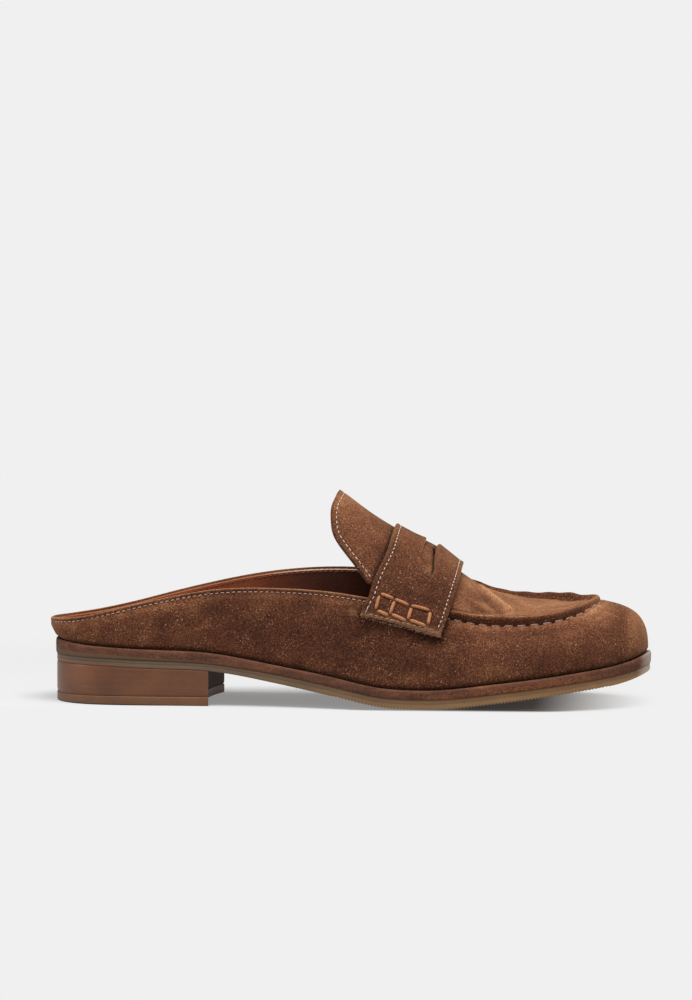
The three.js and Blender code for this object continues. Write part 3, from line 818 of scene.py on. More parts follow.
def lining_leather():
    """Smooth orange-brown lining with a fine grain and a soft gloss, and painted shade deep in the shoe.
    """
    finish = Finish(
        "lining_leather",
        Specular_IOR_Level=0.3,
        Coat_Weight=0.06,
        Coat_Roughness=0.4,
    )
    shade = finish.noise(26, 3, 0.5)
    fine = finish.noise(1.6, 4, 0.6)
    level = finish.vary(shade, fine, 0.3)
    colour = finish.ramp(level, (0.3, (128, 66, 38)), (0.5, (142, 75, 43)), (0.7, (154, 84, 50)))
    # Painted shade deep in the shoe, as much as the depth mark gives
    colour = finish.mix(finish.math("MULTIPLY", finish.mark("depth"), 0.85), colour, linear(40, 15, 9))
    rough = finish.span(fine, 0.2, 0.8, 0.45, 0.62)
    normal = finish.relief(finish.cells(0.7).outputs["Distance"], 0.08)
    normal = finish.relief(shade, 0.6, normal)
    return finish.use(Base_Color=colour, Roughness=rough, Normal=normal)


def cut_edge():
    """Raw cut edge of the lining, pale and a little fibrous."""
    finish = Finish("cut_edge", Roughness=0.85, Specular_IOR_Level=0.2)
    fibre = finish.noise(0.7, 3, 0.6)
    pale = finish.ramp(fibre, (0.2, (120, 88, 68)), (0.55, (170, 138, 114)), (0.9, (206, 180, 156)))
    tan = finish.ramp(fibre, (0.2, (104, 58, 36)), (0.7, (150, 90, 58)))
    colour = finish.mix(finish.span(finish.axis("X"), 45 * MM, 75 * MM), tan, pale)
    return finish.use(Base_Color=colour, Normal=finish.relief(fibre, 0.2))


def welt_leather():
    """Reddish brown edge leather, mottled and dull, stained olive low down over the heel."""
    finish = Finish("welt_leather", Specular_IOR_Level=0.16)
    clouds = finish.noise(9, 3, 0.6, (0.6, 1, 2.2))
    specks = finish.noise(0.7, 3, 0.7)
    level = finish.vary(clouds, specks, 1.1)
    colour = finish.ramp(
        level,
        (0.1, (40, 25, 20)),
        (0.4, (78, 48, 36)),
        (0.65, (102, 64, 45)),
        (0.95, (136, 88, 60)),
    )
    warm = finish.math("MULTIPLY", finish.mark("glow"), finish.span(specks, 0.43, 0.58))
    colour = finish.mix(warm, colour, linear(166, 96, 48))
    above = finish.math("SUBTRACT", finish.mark("rise"), finish.mark("stain"))
    above = finish.vary(above, specks, 0.7)
    colour = finish.mix(finish.span(above, -0.25, 0.25, 0.9, 0.0), colour, linear(90, 72, 54))
    colour = finish.glare(colour, *WELT_TOE_GLARE)
    colour = finish.glare(colour, *REAR_GLARE)
    rough = finish.span(specks, 0.3, 0.7, 0.62, 0.85)
    return finish.use(Base_Color=colour, Roughness=rough, Normal=finish.relief(specks, 0.2))


def outsole_rubber():
    """Olive-grey rubber over the heel that turns to translucent tan towards the toe."""
    finish = Finish("outsole_rubber", Specular_IOR_Level=0.3, Coat_Weight=0.06, Coat_Roughness=0.45)
    band = finish.mark("band")
    clouds = finish.noise(9, 3, 0.6, (0.3, 1, 1.5))
    grain = finish.noise(0.5, 3, 0.6)
    level = finish.vary(clouds, grain, 0.25)
    olive = finish.ramp(level, (0.2, (80, 64, 47)), (0.55, (96, 78, 58)), (0.9, (112, 92, 68)))
    tan = finish.ramp(level, (0.2, (98, 68, 42)), (0.55, (120, 86, 54)), (0.9, (142, 104, 68)))
    colour = finish.mix(finish.mark("front"), olive, tan)
    line = finish.math("ABSOLUTE", finish.math("SUBTRACT", band, 0.55))
    line = finish.span(line, 0.04, 0.2, 0.3, 0.0)
    line = finish.math("MULTIPLY", line, finish.math("SUBTRACT", 1.0, finish.mark("front")))
    colour = finish.mix(line, colour, linear(58, 46, 34))
    low = finish.span(band, 0.0, 0.7, 0.35, 0.0)
    low = finish.math("MULTIPLY", low, finish.mark("front"))
    colour = finish.mix(low, colour, linear(166, 128, 84))
    high = finish.span(band, 0.6, 0.95, 0.0, 0.35)
    colour = finish.mix(high, colour, linear(88, 66, 50))
    above = finish.math("SUBTRACT", finish.mark("rise"), finish.mark("stain"))
    colour = finish.mix(finish.span(above, -0.15, 0.15, 0.9, 0.0), colour, linear(112, 70, 46))
    colour = finish.glare(colour, *OUTSOLE_TOE_GLARE)
    rough = finish.span(grain, 0.3, 0.7, 0.42, 0.6)
    return finish.use(Base_Color=colour, Roughness=rough, Normal=finish.relief(grain, 0.06))


def heel_leather():
    """Stacked heel: faint level layers under a satin finish, raw and rougher on its hollow front, and
    darker there with painted shade.
    """
    finish = Finish("heel_leather", Coat_Roughness=0.3)
    layers = finish.noise(2.2, 2, 0.5, (0.02, 0.02, 1))
    streaks = finish.noise(0.7, 3, 0.6, (0.05, 0.05, 1))
    clouds = finish.noise(16, 3, 0.5)
    grain = finish.noise(0.6, 3, 0.65)
    level = clouds
    for field, weight in ((layers, 0.35), (streaks, 0.2), (grain, 0.5)):
        level = finish.vary(level, field, weight)
    colour = finish.ramp(level, (0.15, (80, 47, 29)), (0.5, (97, 58, 35)), (0.85, (116, 70, 40)))
    normal = finish.node("ShaderNodeNewGeometry", {}).outputs["Normal"]
    # Painted shade: the hollow front, facing forward under the arch, is darkened
    hollow = finish.span(finish.axis("X", normal), 0.5, 0.8)
    colour = finish.mix(hollow, colour, linear(76, 60, 52))
    colour = finish.glare(colour, *REAR_GLARE)
    return finish.use(
        Base_Color=colour,
        Roughness=finish.span(hollow, 0.0, 1.0, 0.48, 0.8),
        Coat_Weight=finish.span(hollow, 0.0, 1.0, 0.14, 0.0),
        Specular_IOR_Level=finish.span(hollow, 0.0, 1.0, 0.3, 0.2),
        Normal=finish.relief(streaks, 0.05),
    )


def lift_rubber():
    """Lighter rubber top piece of the heel, with a few small dark pits and a painted contact shadow low
    at its rear.
    """
    finish = Finish("lift_rubber", Specular_IOR_Level=0.3, Coat_Weight=0.08, Coat_Roughness=0.4)
    clouds = finish.noise(12, 3, 0.6)
    colour = finish.ramp(clouds, (0.25, (94, 61, 39)), (0.55, (104, 69, 44)), (0.85, (114, 78, 51)))
    pits = finish.span(finish.cells(7).outputs["Distance"], 0.03, 0.07, 1.0, 0.0)
    colour = finish.mix(pits, colour, linear(44, 27, 20))
    # Painted contact shadow: the lift's lowest edge is darkened to near black towards the rear
    painted_contact_shadow = finish.span(finish.axis("Z"), 0.25 * MM, 0.7 * MM, 0.9, 0.0)
    rear = finish.span(finish.axis("X"), -5 * MM, 22 * MM, 1.0, 0.0)
    painted_contact_shadow = finish.math("MULTIPLY", painted_contact_shadow, rear)
    colour = finish.mix(painted_contact_shadow, colour, linear(16, 12, 12))
    grain = finish.noise(0.5, 3, 0.6)
    rough = finish.span(grain, 0.3, 0.7, 0.45, 0.6)
    return finish.use(Base_Color=colour, Roughness=rough, Normal=finish.relief(grain, 0.05))


def thread(name, dark, light):
    """Waxed thread, lighter on its strands."""
    finish = Finish(name, Roughness=0.6, Specular_IOR_Level=0.3, Sheen_Weight=0.2)
    strands = finish.noise(0.5, 3, 0.6)
    colour = finish.ramp(strands, (0.25, dark), (0.7, light))
    return finish.use(Base_Color=colour, Normal=finish.relief(strands, 0.08))


# Soft patches of lighter and darker tone on the upper's sides, partly nap and partly painted light,
# such as the lighter top and tip of the toe: place along the shoe and height in millimetres, reach
# along and up, and how much lighter
SIDE_TONES = table(
    "x beside long wide tone",
    (40, 36, 75, 30, -0.14),
    (10, 42, 16, 5, 0.1),
    (30, 52, 22, 3.5, 0.1),
    (62, 60, 22, 3.5, 0.12),
    (90, 62, 22, 3.5, 0.1),
    (33, 49, 9, 6, -0.14),
    (46, 42, 12, 7, -0.2),
    (28, 42, 6, 4, 0.12),
    (-2, 38, 12, 6, 0.08),
    (62, 47, 16, 8, -0.14),
    (80, 35, 40, 8, -0.16),
    (105, 24, 34, 9, -0.14),
    (92, 55, 12, 8, 0.16),
    (112, 57, 3, 2.5, 0.3),
    (128, 44, 10, 6, -0.06),
    (154, 46, 10, 5, 0.18),
    (166, 45, 12, 3, 0.22),
    (180, 46, 12, 4, 0.18),
    (192, 52, 14, 5, 0.4),
    (199, 39, 8, 5, 0.45),
    (196, 47, 16, 5, 0.25),
    (75, 55, 28, 5, 0.2),
    (55, 43, 34, 6, 0.35),
    (160, 40, 22, 7, 0.2),
    (158, 18, 9, 3.5, 0.25),
    (172, 36, 12, 7, -0.12),
    (187, 42, 5, 4, -0.1),
    (209, 37, 4, 8, -0.12),
    (215, 32, 6, 9, 0.25),
    (214, 44, 3, 12, 0.3),
    (210, 28, 8, 5, 0.12),
    (140, 20, 40, 5, -0.12),
    (122, 14.5, 5, 2.5, 0.35),
    (185, 22, 20, 5, -0.1),
)
# The same on the closed top in front of the strap, by place along the shoe and across it
TOP_TONES = table(
    "x beside long wide tone",
    (156, 16, 7, 7, 0.28),
    (152, -19, 4, 3, 0.22),
    (174, -10, 8, 4, 0.2),
    (182, -1, 6, 6, 0.2),
    (146, -1, 4, 6, 0.25),
    (150, -23, 6, 4, -0.5),
    (148, -12, 5, 6, -0.35),
    (165, 2, 6, 8, 0.16),
)
# Tone offsets of the sides, the closed top, the strap and the tongue; the closed top's lighter offset is
# painted light from above
SIDE_SHADE = -0.2
TOP_PAINTED_LIGHT = 0.26
STRAP_SHADE = -0.36
TONGUE_SHADE = -0.06
# Small marks on the suede: place, reach, how strongly, and colour
SPOTS = (
    ((96.2, -36.3, 41.2), 2.2, 0.22, (158, 116, 82)),
    ((97.9, -36.6, 40.9), 1.6, 0.2, (158, 116, 82)),
    ((95.3, -36.1, 40.8), 0.55, 0.8, (36, 20, 14)),
    ((97.2, -36.5, 40.7), 0.55, 0.8, (36, 20, 14)),
    ((99.0, -36.8, 40.4), 0.5, 0.7, (36, 20, 14)),
)


SUEDE = suede()
LINING = lining_leather()
CUT_EDGE = cut_edge()
WELT = welt_leather()
OUTSOLE = outsole_rubber()
HEEL = heel_leather()
LIFT = lift_rubber()
CREAM_THREAD = thread("cream_thread", (160, 136, 118), (232, 216, 200))
WORN_THREAD = thread("worn_thread", (112, 80, 66), (190, 160, 144))
GREY_THREAD = thread("grey_thread", (84, 62, 50), (168, 140, 122))
TAN_THREAD = thread("tan_thread", (112, 60, 28), (188, 122, 70))
BROWN_THREAD = thread("brown_thread", (70, 34, 22), (142, 88, 62))
DARK_EDGE = thread("dark_edge", (36, 21, 15), (88, 56, 40))
FUZZ = thread("suede_fuzz", (112, 72, 48), (160, 116, 84))


def patch_tone(patches, x, beside):
    """Sum of soft patches at places given along the shoe and beside that."""
    near = bell((x[:, None] - patches["x"]) / patches["long"])
    near = near * bell((beside[:, None] - patches["beside"]) / patches["wide"])
    return near @ patches["tone"]


# Creases: place along the sole and across the form at both ends, half width and depth. A trough
# has a soft ridge on either side.
CREASES = table(
    "at across to_at to_across wide deep",
    (0.706, 0.05, 0.752, -0.68, 3.4, 0.75),
    (0.715, 0.3, 0.768, -0.52, 2.3, -0.75),
    (0.752, 0.25, 0.79, -0.45, 2.4, 0.3),
    (0.7, 0.3, 0.75, 0.6, 3, 0.3),
    (0.775, 0.1, 0.83, 0.35, 2.6, 0.25),
    (0.8, -0.45, 0.86, -0.3, 2.4, 0.22),
    (0.69, -0.6, 0.73, -0.82, 2, 0.3),
    (0.56, -1.2, 0.53, -1.5, 4, 0.3),
    (0.45, -1.15, 0.38, -1.35, 5, 0.35),
    (0.3, -1.3, 0.2, -1.5, 5, 0.3),
    (0.62, -1.5, 0.7, -1.35, 4, 0.3),
    (0.75, -1.2, 0.85, -1.3, 4, 0.25),
    (0.56, 1.2, 0.5, 1.45, 4, 0.3),
    (0.42, 1.2, 0.34, 1.4, 5, 0.35),
    (0.65, 1.45, 0.74, 1.3, 4, 0.3),
    (0.78, 1.25, 0.86, 1.35, 4, 0.25),
)


def creases(points):
    """Depth of the creases at each point, in millimetres."""
    depth = np.zeros(len(points))
    for at, across, to_at, to_across, wide, deep in zip(*CREASES.values()):
        share = np.linspace(0, 1, 33)
        stations_along = station_at(along_sole(lerp(at, to_at, share)))
        line = instep_point(stations_along, lerp(across, to_across, share))
        gaps = np.linalg.norm(points[:, None] - line, axis=2).min(axis=1) / wide
        depth -= deep * (1 - 1.2 * gaps**2) * bell(gaps)
    return depth


def upper_sheet(rear_steps, front_steps, drops, body_rows, columns):
    """The upper's outer face: the wall all round and the closed top in front of the throat.

    Marks: run along the rim from the heel, drop below the rim (less than 0 on the closed top), how
    far the seam stands, how near the foot is, and whether the rim is the free topline.
    """
    rear = np.linspace(0, THROAT_STATION, rear_steps + 1)
    side = np.concatenate([rear, np.linspace(THROAT_STATION, TOE, front_steps + 1)[1:]])
    places = np.concatenate([side, LOOP - side[-2:0:-1]])
    count = len(places)
    lines = WallLines(places)
    seam = seam_share(places)
    run = rim_run(places)
    free = smooth((along_sole(THROAT) - 3 - rim_x(places)) / 4)
    sheet = Sheet()
    levels = [lerp(lines.total, drops[0], share) for share in np.linspace(0, 1, body_rows + 1)[:-1]]
    levels += [np.full(count, float(drop)) for drop in drops]
    rings = [
        sheet.add(lines.at(level), run=run, drop=level, seam=seam, foot=lines.total - level, free=free)
        for level in levels
    ]
    for lower, higher in zip(rings, rings[1:]):
        sheet.strip(lower, higher, closed=True)

    closing = np.arange(rear_steps, count - rear_steps + 1)
    place = places[closing]
    here, there = rim_point(place), rim_point(LOOP - place)
    width = np.abs(rim_y(LOOP - place) - rim_y(place)) + 1e-6
    reach = 0.5
    dx = rim_x(place + reach) - rim_x(place - reach)
    dy = rim_y(place + reach) - rim_y(place - reach)
    size = np.hypot(dx, dy)
    top_marks = {"run": run[closing], "seam": seam[closing], "foot": 99, "free": 0}
    row = rings[-1][closing]
    for drop in reversed(drops[:-1]):
        share = np.minimum(drop / width, 0.5)
        point = arch_point(here, there, place, 2 * share - 1)
        point[:, 0] = here[:, 0] - dy / size * drop
        point[:, 1] = here[:, 1] + dx / size * drop
        following = sheet.add(point, drop=-drop, **top_marks)
        sheet.strip(row, following)
        row = following
    inset = drops[0]
    half = front_steps
    points = sheet.points
    rows = []
    for j in range(half):
        first, second = points[row[j]], points[row[2 * half - j]]
        edge = 1 - 2 * min(inset / width[j], 0.5)
        share = np.linspace(0, 1, columns + 1)[1:-1]
        across = lerp(-edge, edge, share)
        point = arch_point(here[j], there[j], place[j], across)
        point[:, :2] = lerp(first[:2], second[:2], share[:, None])
        near = np.minimum(share, 1 - share) * width[j] + inset
        inner = sheet.add(
            point,
            drop=-near,
            run=np.where(share < 0.5, run[closing][j], run[closing][2 * half - j]),
            seam=seam[closing][j],
            foot=99,
            free=0,
        )
        rows.append(np.concatenate([[row[j]], inner, [row[2 * half - j]]]))
    for first, second in zip(rows, rows[1:]):
        sheet.strip(second, first)
    sheet.fan(rows[-1][::-1], row[half])
    return sheet, rings


# Distances below the rim of the upper's rows, close together where the seam stands
FINE_DROPS = [6, 5, 4.2, 3.6, 3.1, 2.7, 2.35, 2.05, 1.75, 1.6, 1.35, 1.0, 0.65, 0.35, 0.15, 0]
LINING_DROPS = [4, 2.4, 1.4, 0.9, 0.5, 0.2, 0]
# The wall's form over the heel: how far it swells low down, and draws in towards the rim
HEEL_SWELL = 1.1
HEEL_TUCK = 1.2
# How far the wall draws in at the welt, its stitches sink in, and cut edges of suede fall away
FOOT_TUCK = 0.9
TOPLINE_SINK = 0.24
EDGE_ROUND = 0.45


def bead_directions(points, normals, near, rings):
    """Directions in which the seam's roll stands: between those of the wall and the closed top."""
    rim = rings[-1]
    upright = unit(normals[rings[-9]] + normals[rim] * 2)
    close = near < SEAM_HALF_WIDTH
    _, index = nearest(points[close], points[rim])
    towards = normals.copy()
    turn = near[close] / SEAM_HALF_WIDTH * 0.6
    towards[close] = lerp(upright[index], normals[close], turn[:, None])
    return unit(towards)


def rounded_edge(gap, reach):
    """How far a cut edge falls away, as a share from 1 at the edge to 0 at a reach inside it."""
    return 1 - np.sqrt(1 - np.clip(1 - gap / reach, 0, 1) ** 2)


def seam_bead(points, near, seam):
    """Height of the seam's roll, uneven along its way and fuller on the inner side."""
    x = points[:, 0]
    inner_side = smooth(points[:, 1] / 8)
    uneven = 1 + 0.1 * ripple(points, 13, 3) + 0.45 * inner_side * bell((x - 192) / 15)
    uneven -= 0.25 * inner_side * bell((x - 156) / 8)
    return SEAM_HEIGHT * seam * uneven * np.sqrt(np.clip(1 - (near / SEAM_HALF_WIDTH) ** 4, 0, 1))


def upper_relief(points, folds, near, wall_side, beat, seam, foot, free):
    """How far the upper's face stands out: folds, the seam's groove and puckers, and the heel."""
    x = points[:, 0]
    groove = np.where(wall_side, 0.6, 0.35) * bell((near - 2.2) / 0.5)
    pucker = np.where(wall_side, 0.34, 0.16) * beat * bell((near - 3.3) / 1.5)
    brushed = np.where(wall_side, 0.4, 0.1) * bell((near - 4.3) / 1.7)
    relief = folds + 0.24 * ripple(points, 26, 11) + 0.08 * ripple(points, 9, 12)
    relief += seam * (brushed - groove - pucker)
    relief -= FOOT_TUCK * bell(foot / 0.9)
    relief += HEEL_SWELL * smooth((-20 - x) / 12) * bell((foot - 4) / 6)
    relief -= HEEL_TUCK * smooth((-26 - x) / 8) * smooth((foot - 6) / 5)
    relief -= free * TOPLINE_SINK * bell((near - TOPLINE_INSET) / 0.5)
    return relief - free * EDGE_ROUND * rounded_edge(near, 0.5)


def upper_tone(points, folds, near, wall_side, beat, seam, foot, free):
    """Tone of the upper's suede: patches of nap and painted light, painted light on the closed top,
    painted shade in folds, at the welt and along the strap, and the seam's painted light and shade.
    """
    x, y, z = points.T
    side = patch_tone(SIDE_TONES, x, z) + SIDE_SHADE + 0.06 * ripple(points, 40, 5)
    top = patch_tone(TOP_TONES, x, y) + TOP_PAINTED_LIGHT
    # Folds: painted shade in their troughs, lighter on their ridges
    tone = np.where(~wall_side & (near > SEAM_HALF_WIDTH), top, side) + 0.45 * folds
    # Seam: painted shade on the face of its roll and in its groove, a painted highlight on its crest, and
    # lighter nap below it, darker in its puckers with painted shade
    tone -= seam * np.where(wall_side, 0.2, 0.3) * bell((near - 1.35) / 0.75)
    tone += seam * 0.42 * bell(near / 0.45)
    tone -= seam * 0.4 * bell((near - 2.25) / 0.4)
    tone += seam * wall_side * (0.3 - 0.1 * beat) * bell((near - 4.6) / 1.9)
    tone += free * 0.24 * bell((near - 3.6) / 1.5)
    # Painted shade where the wall tucks into the welt, and painted shadow along the strap's edges
    tone -= 0.5 * bell(foot / 0.9)
    strap_gap, _ = nearest(points, strap_outline())
    return tone - 0.35 * bell(strap_gap / 0.7) - 0.25 * bell(strap_gap / 2.2)


def dress_upper():
    sheet, rings = upper_sheet(190, 190, FINE_DROPS, 24, 44)
    points = sheet.points
    normals = vertex_normals(points, sheet.faces)
    run, drop, seam = sheet.mark("run"), sheet.mark("drop"), sheet.mark("seam")
    foot, free = sheet.mark("foot"), sheet.mark("free")
    near = np.abs(drop)
    wall_side = drop > 0
    beat = np.cos(2 * math.pi * run / SEAM_PITCH)
    folds = creases(points)
    relief = upper_relief(points, folds, near, wall_side, beat, seam, foot, free)
    bead = seam_bead(points, near, seam)
    towards = bead_directions(points, normals, near, rings)
    outer = points + normals * relief[:, None] + towards * bead[:, None]
    inner = points - normals * SUEDE_THICKNESS
    inner[rings[0], 2] = outer[rings[0], 2]
    solid, faces, _ = solid_between([outer, inner], sheet.faces)

    tone = upper_tone(points, folds, near, wall_side, beat, seam, foot, free)
    inner_side = smooth(points[:, 1] / 8)
    # Painted light on the inside of the rim, on the inner side towards the heel
    lit_rim = 0.9 * free * bell(near / 1.2) * inner_side * smooth((90 - points[:, 0]) / 30)
    row = np.where((free > 0.5) & wall_side, drop - TOPLINE_INSET, NO_ROW)
    marks = {
        "tone": np.concatenate([tone, tone - 0.35 + lit_rim]),
        "holes": np.tile(run / STITCH_PITCH, 2),
        "row": np.concatenate([row, np.full(len(points), NO_ROW)]),
        "edge": np.concatenate([free * bell(near / 0.3), 0.4 * free * bell(near / 0.5)]),
    }
    make_piece("upper_suede", solid, faces, [SUEDE], "suede", ["upper"], marks, crease=70)


def dress_lining():
    sheet, rings = upper_sheet(110, 70, LINING_DROPS, 10, 20)
    points = sheet.points
    normals = vertex_normals(points, sheet.faces)
    lowered = np.clip(1 - np.abs(sheet.mark("drop")) / 2.4, 0, 1) * sheet.mark("free")
    outer = points - normals * (SUEDE_THICKNESS + 0.03)
    inner = points - normals * (SUEDE_THICKNESS + LINING_THICKNESS)
    for skin, drop in ((outer, LINING_DROP), (inner, LINING_DROP + LINING_BEVEL)):
        skin[:, 2] -= lowered * drop
        skin[rings[0], 2] = points[rings[0], 2]
    solid, faces, side_count = solid_between([outer, inner], sheet.faces)
    indices = np.zeros(len(faces), int)
    indices[len(faces) - side_count:] = 1
    # How much painted shade the lining takes: more towards the toe and further below the rim
    depth = smooth((points[:, 0] - 20) / 60) * smooth((sheet.mark("drop") + 6) / 4)
    marks = {"depth": np.tile(depth, 2)}
    make_piece(
        "lining", solid, faces, [LINING, CUT_EDGE], "lining_leather", (), marks, indices, crease=50
    )


# Thread


def tube(path, normals, radius, sides=8, twist=0.0, lay=2.2):
    """A round thread along a path, thinner at its two ends, with the groove of its two strands."""
    share = np.linspace(-1, 1, len(path))
    along = unit(np.gradient(path, axis=0))
    up = unit(normals - along * np.sum(normals * along, axis=1, keepdims=True))
    across = np.cross(along, up)
    walk = walked(path)
    angle = np.linspace(0, 2 * math.pi, sides, endpoint=False)
    slim = np.sqrt(np.clip(1 - np.abs(share) ** 6, 0.06, 1))
    strands = 1 + twist * np.cos(2 * (angle - walk[:, None] * 2 * math.pi / lay))
    size = radius * slim[:, None] * strands
    ring = (
        path[:, None]
        + across[:, None] * (np.cos(angle) * size)[..., None]
        + up[:, None] * (np.sin(angle) * size)[..., None]
    )
    points = ring.reshape(-1, 3)
    faces = []
    for i in range(len(path) - 1):
        for j in range(sides):
            k = (j + 1) % sides
            faces.append([i * sides + j, i * sides + k, (i + 1) * sides + k, (i + 1) * sides + j])
    faces.append(list(range(sides))[::-1])
    faces.append([(len(path) - 1) * sides + j for j in range(sides)])
    return points, faces


def join(parts):
    points, faces, first = [], [], 0
    for part_points, part_faces in parts:
        points.append(part_points)
        faces += [[i + first for i in face] for face in part_faces]
        first += len(part_points)
    return np.concatenate(points), faces


def stitch(line, normals, walk, start, length, radius, height, twist=0.0):
    """One stitch from start along a line on a surface: out of one hole and into the next."""
    share = np.linspace(0, 1, 13 if twist else 7)
    at = start + share * length
    path = np.stack([np.interp(at, walk, line[:, i]) for i in range(3)], axis=1)
    up = unit(np.stack([np.interp(at, walk, normals[:, i]) for i in range(3)], axis=1))
    arc = height - (height + radius) * np.abs(2 * share - 1) ** 4
    return tube(path + up * arc[:, None], up, radius, 10 if twist else 6, twist, 2.6)


def stitch_row(
    line,
    normals,
    pitch=STITCH_PITCH,
    length=STRAP_STITCH_LENGTH,
    radius=STITCH_RADIUS,
    height=STITCH_RADIUS * 0.5,
    phase=0.5,
):
    """Stitches along a line of points on a surface, one to each pitch."""
    walk = walked(line)
    starts = np.arange((1 - length / pitch) / 2 + phase, walk[-1] / pitch - 0.9) * pitch
    return [stitch(line, normals, walk, start, length, radius, height) for start in starts]


def surface_line(surface, u, v, u_step=0.01, v_step=0.01):
    """Points and outward normals of a surface along a line of its two coordinates."""
    run = surface(u + u_step, v) - surface(u - u_step, v)
    rise = surface(u, v + v_step) - surface(u, v - v_step)
    return surface(u, v), unit(np.cross(run, rise))


def lines_below_rim(start, end, drop):
    """A line below the rim on each side: its points, outward directions and distances along it."""
    walk = np.linspace(start, end, ROW_SAMPLES)
    for side, places in ((1, walk), (-1, LOOP - walk)):
        lines = WallLines(places)
        line = lines.at(drop)
        along = unit(np.gradient(line, axis=0)) * side
        yield line, unit(np.cross(along, line - lines.at(drop + 0.4))), rim_run(places)


def topline_starts(runs):
    """Where the stitches of the free topline start, by the distance from the back of the heel."""
    return (np.arange(int(runs[-1] / STITCH_PITCH)) + 0.5) * STITCH_PITCH - STITCH_LENGTH / 2


def topline_stitches():
    """The row of stitches below the free topline, on both sides of the foot."""
    size = (STITCH_LENGTH, STITCH_RADIUS, STITCH_RADIUS * 0.6)
    return [
        stitch(line, normals, runs, start, *size)
        for line, normals, runs in lines_below_rim(0, THROAT_STATION, TOPLINE_INSET)
        for start in topline_starts(runs)
    ]


def lining_stitches():
    """The same row where it shows inside on the lining, half a stitch further on."""
    size = (STITCH_LENGTH, 0.16, 0.08)
    return [
        stitch(line - normals * UPPER_WALL, -normals, runs, start + STITCH_PITCH / 2, *size)
        for line, normals, runs in lines_below_rim(0, THROAT_STATION, TOPLINE_INSET + 0.3)
        for start in topline_starts(runs)
    ]


# The strap

# Steps from an edge inwards where the strap's rows of points are close together
EDGE_STEPS = np.array([0, 0.12, 0.3, 0.55, 0.9, 1.5, 2.2, 3])
STRAP_END_ROW = 1.7
# About how many millimetres one unit across covers near the strap's ends
STRAP_UNIT = 30
SLOT_CENTRE = instep_point(station_at(along_sole(SLOT)), 0.0)


def edge_to_edge(length, count):
    """Shares of a length from one edge to the other, closer together near both edges."""
    body = np.linspace(EDGE_STEPS[-1], length - EDGE_STEPS[-1], count + 2)[1:-1]
    return np.concatenate([EDGE_STEPS, body, (length - EDGE_STEPS)[::-1]]) / length


def slot_half_width(y):
    """Half the slot's width at a distance across the shoe: a waist, wider to its round ends."""
    half = SLOT_LENGTH / 2
    turn = SLOT_TURN * half
    reach = np.abs(y - SLOT_CENTRE[1])
    straight = lerp(SLOT_WAIST / 2, SLOT_END / 2, np.clip(reach / turn, 0, 1))
    round_end = SLOT_END / 2 * np.sqrt(np.clip(1 - ((reach - turn) / (half - turn)) ** 2, 0, 1))
    return np.where(reach > turn, round_end, straight)


def share_at(across, offset):
    """Share along the strap where it lies an offset in front of the slot's middle line."""
    share = np.full(np.shape(across), 0.6)
    for _ in range(6):
        point = strap_point(share, across)
        target = SLOT_CENTRE[0] + offset(point[..., 1])
        slope = (strap_point(share + 0.01, across)[..., 0] - point[..., 0]) / 0.01
        share = share + (target - point[..., 0]) / slope
    return share


def slot_columns():
    """Places across the strap, from rim to rim, that are close together where the slot turns."""
    fine = np.linspace(-1, 1, 801)
    y = strap_point(share_at(fine, lambda y: 0 * y), fine)[:, 1]
    half = SLOT_LENGTH / 2
    turns = SLOT_CENTRE[1] + half * np.sin(np.linspace(-math.pi / 2, math.pi / 2, 61))
    inside = np.interp(turns, y, fine)
    left = np.linspace(-1, inside[0], 34)[:-1]
    right = np.linspace(inside[-1], 1, 34)[1:]
    parted = np.concatenate([0 * left, [0], 1 + 0 * inside[1:-1], [0], 0 * right]) > 0
    return np.concatenate([left, inside, right]), parted


def strap_end(share):
    return lerp(STRAP_END_REAR, STRAP_END_FRONT, share)


def strap_sheet():
    """The form under the strap as rows from its rear edge to its front edge, parted at the slot."""
    columns, parted = slot_columns()
    rear_cut = share_at(columns, lambda y: -slot_half_width(y))
    front_cut = share_at(columns, slot_half_width)
    wing_length = 11
    body = np.linspace(0, 1 - EDGE_STEPS[-1] / wing_length, 14)[1:-1]
    wing = np.concatenate([body, 1 - EDGE_STEPS[::-1] / wing_length])
    shares = [(0, rear_cut * fraction) for fraction in edge_to_edge(16, 14)]
    shares += [(1, lerp(front_cut, 1, fraction)) for fraction in edge_to_edge(11, 10)]
    sheet = Sheet()
    held = ~np.pad(parted, len(wing), constant_values=False)
    rows = []
    for part, share in shares:
        ragged = 0.006 * np.sin(37 * share[0]) + 0.005 * np.sin(83 * share[0] + 1)
        end = wing * (1 + ragged * wing**8)
        left = -lerp(1, strap_end(share[0]), end[::-1])
        right = lerp(1, strap_end(share[-1]), end)
        across = np.concatenate([left, columns, right])
        full = np.pad(share, len(wing), mode="edge")
        row = sheet.add(strap_point(full, across), share=full, across=across)
        if rows and rows[-1][0] == part:
            sheet.strip(row, rows[-1][1])
        elif rows:
            row = np.where(held, rows[-1][1], row)
        rows.append((part, row))
    return sheet


def used_only(points, faces, marks):
    """The points that faces use, with the faces and marks renumbered."""
    used = np.unique(np.concatenate([np.asarray(face) for face in faces]))
    place = np.full(len(points), -1)
    place[used] = np.arange(len(used))
    kept = {name: values[used] for name, values in marks.items()}
    return points[used], [place[face].tolist() for face in faces], kept


def open_edge_samples(faces, points, spacing=0.2):
    """Points close together along every open edge."""
    found = []
    for a, b in open_edges(faces):
        steps = max(1, int(np.linalg.norm(points[a] - points[b]) / spacing))
        found.append(lerp(points[a], points[b], np.arange(steps)[:, None] / steps))
    return np.concatenate(found)


def strap_lift(share):
    return CLEARANCE + STRAP_FRONT_LIFT * smooth(np.asarray(share) * 1.2)


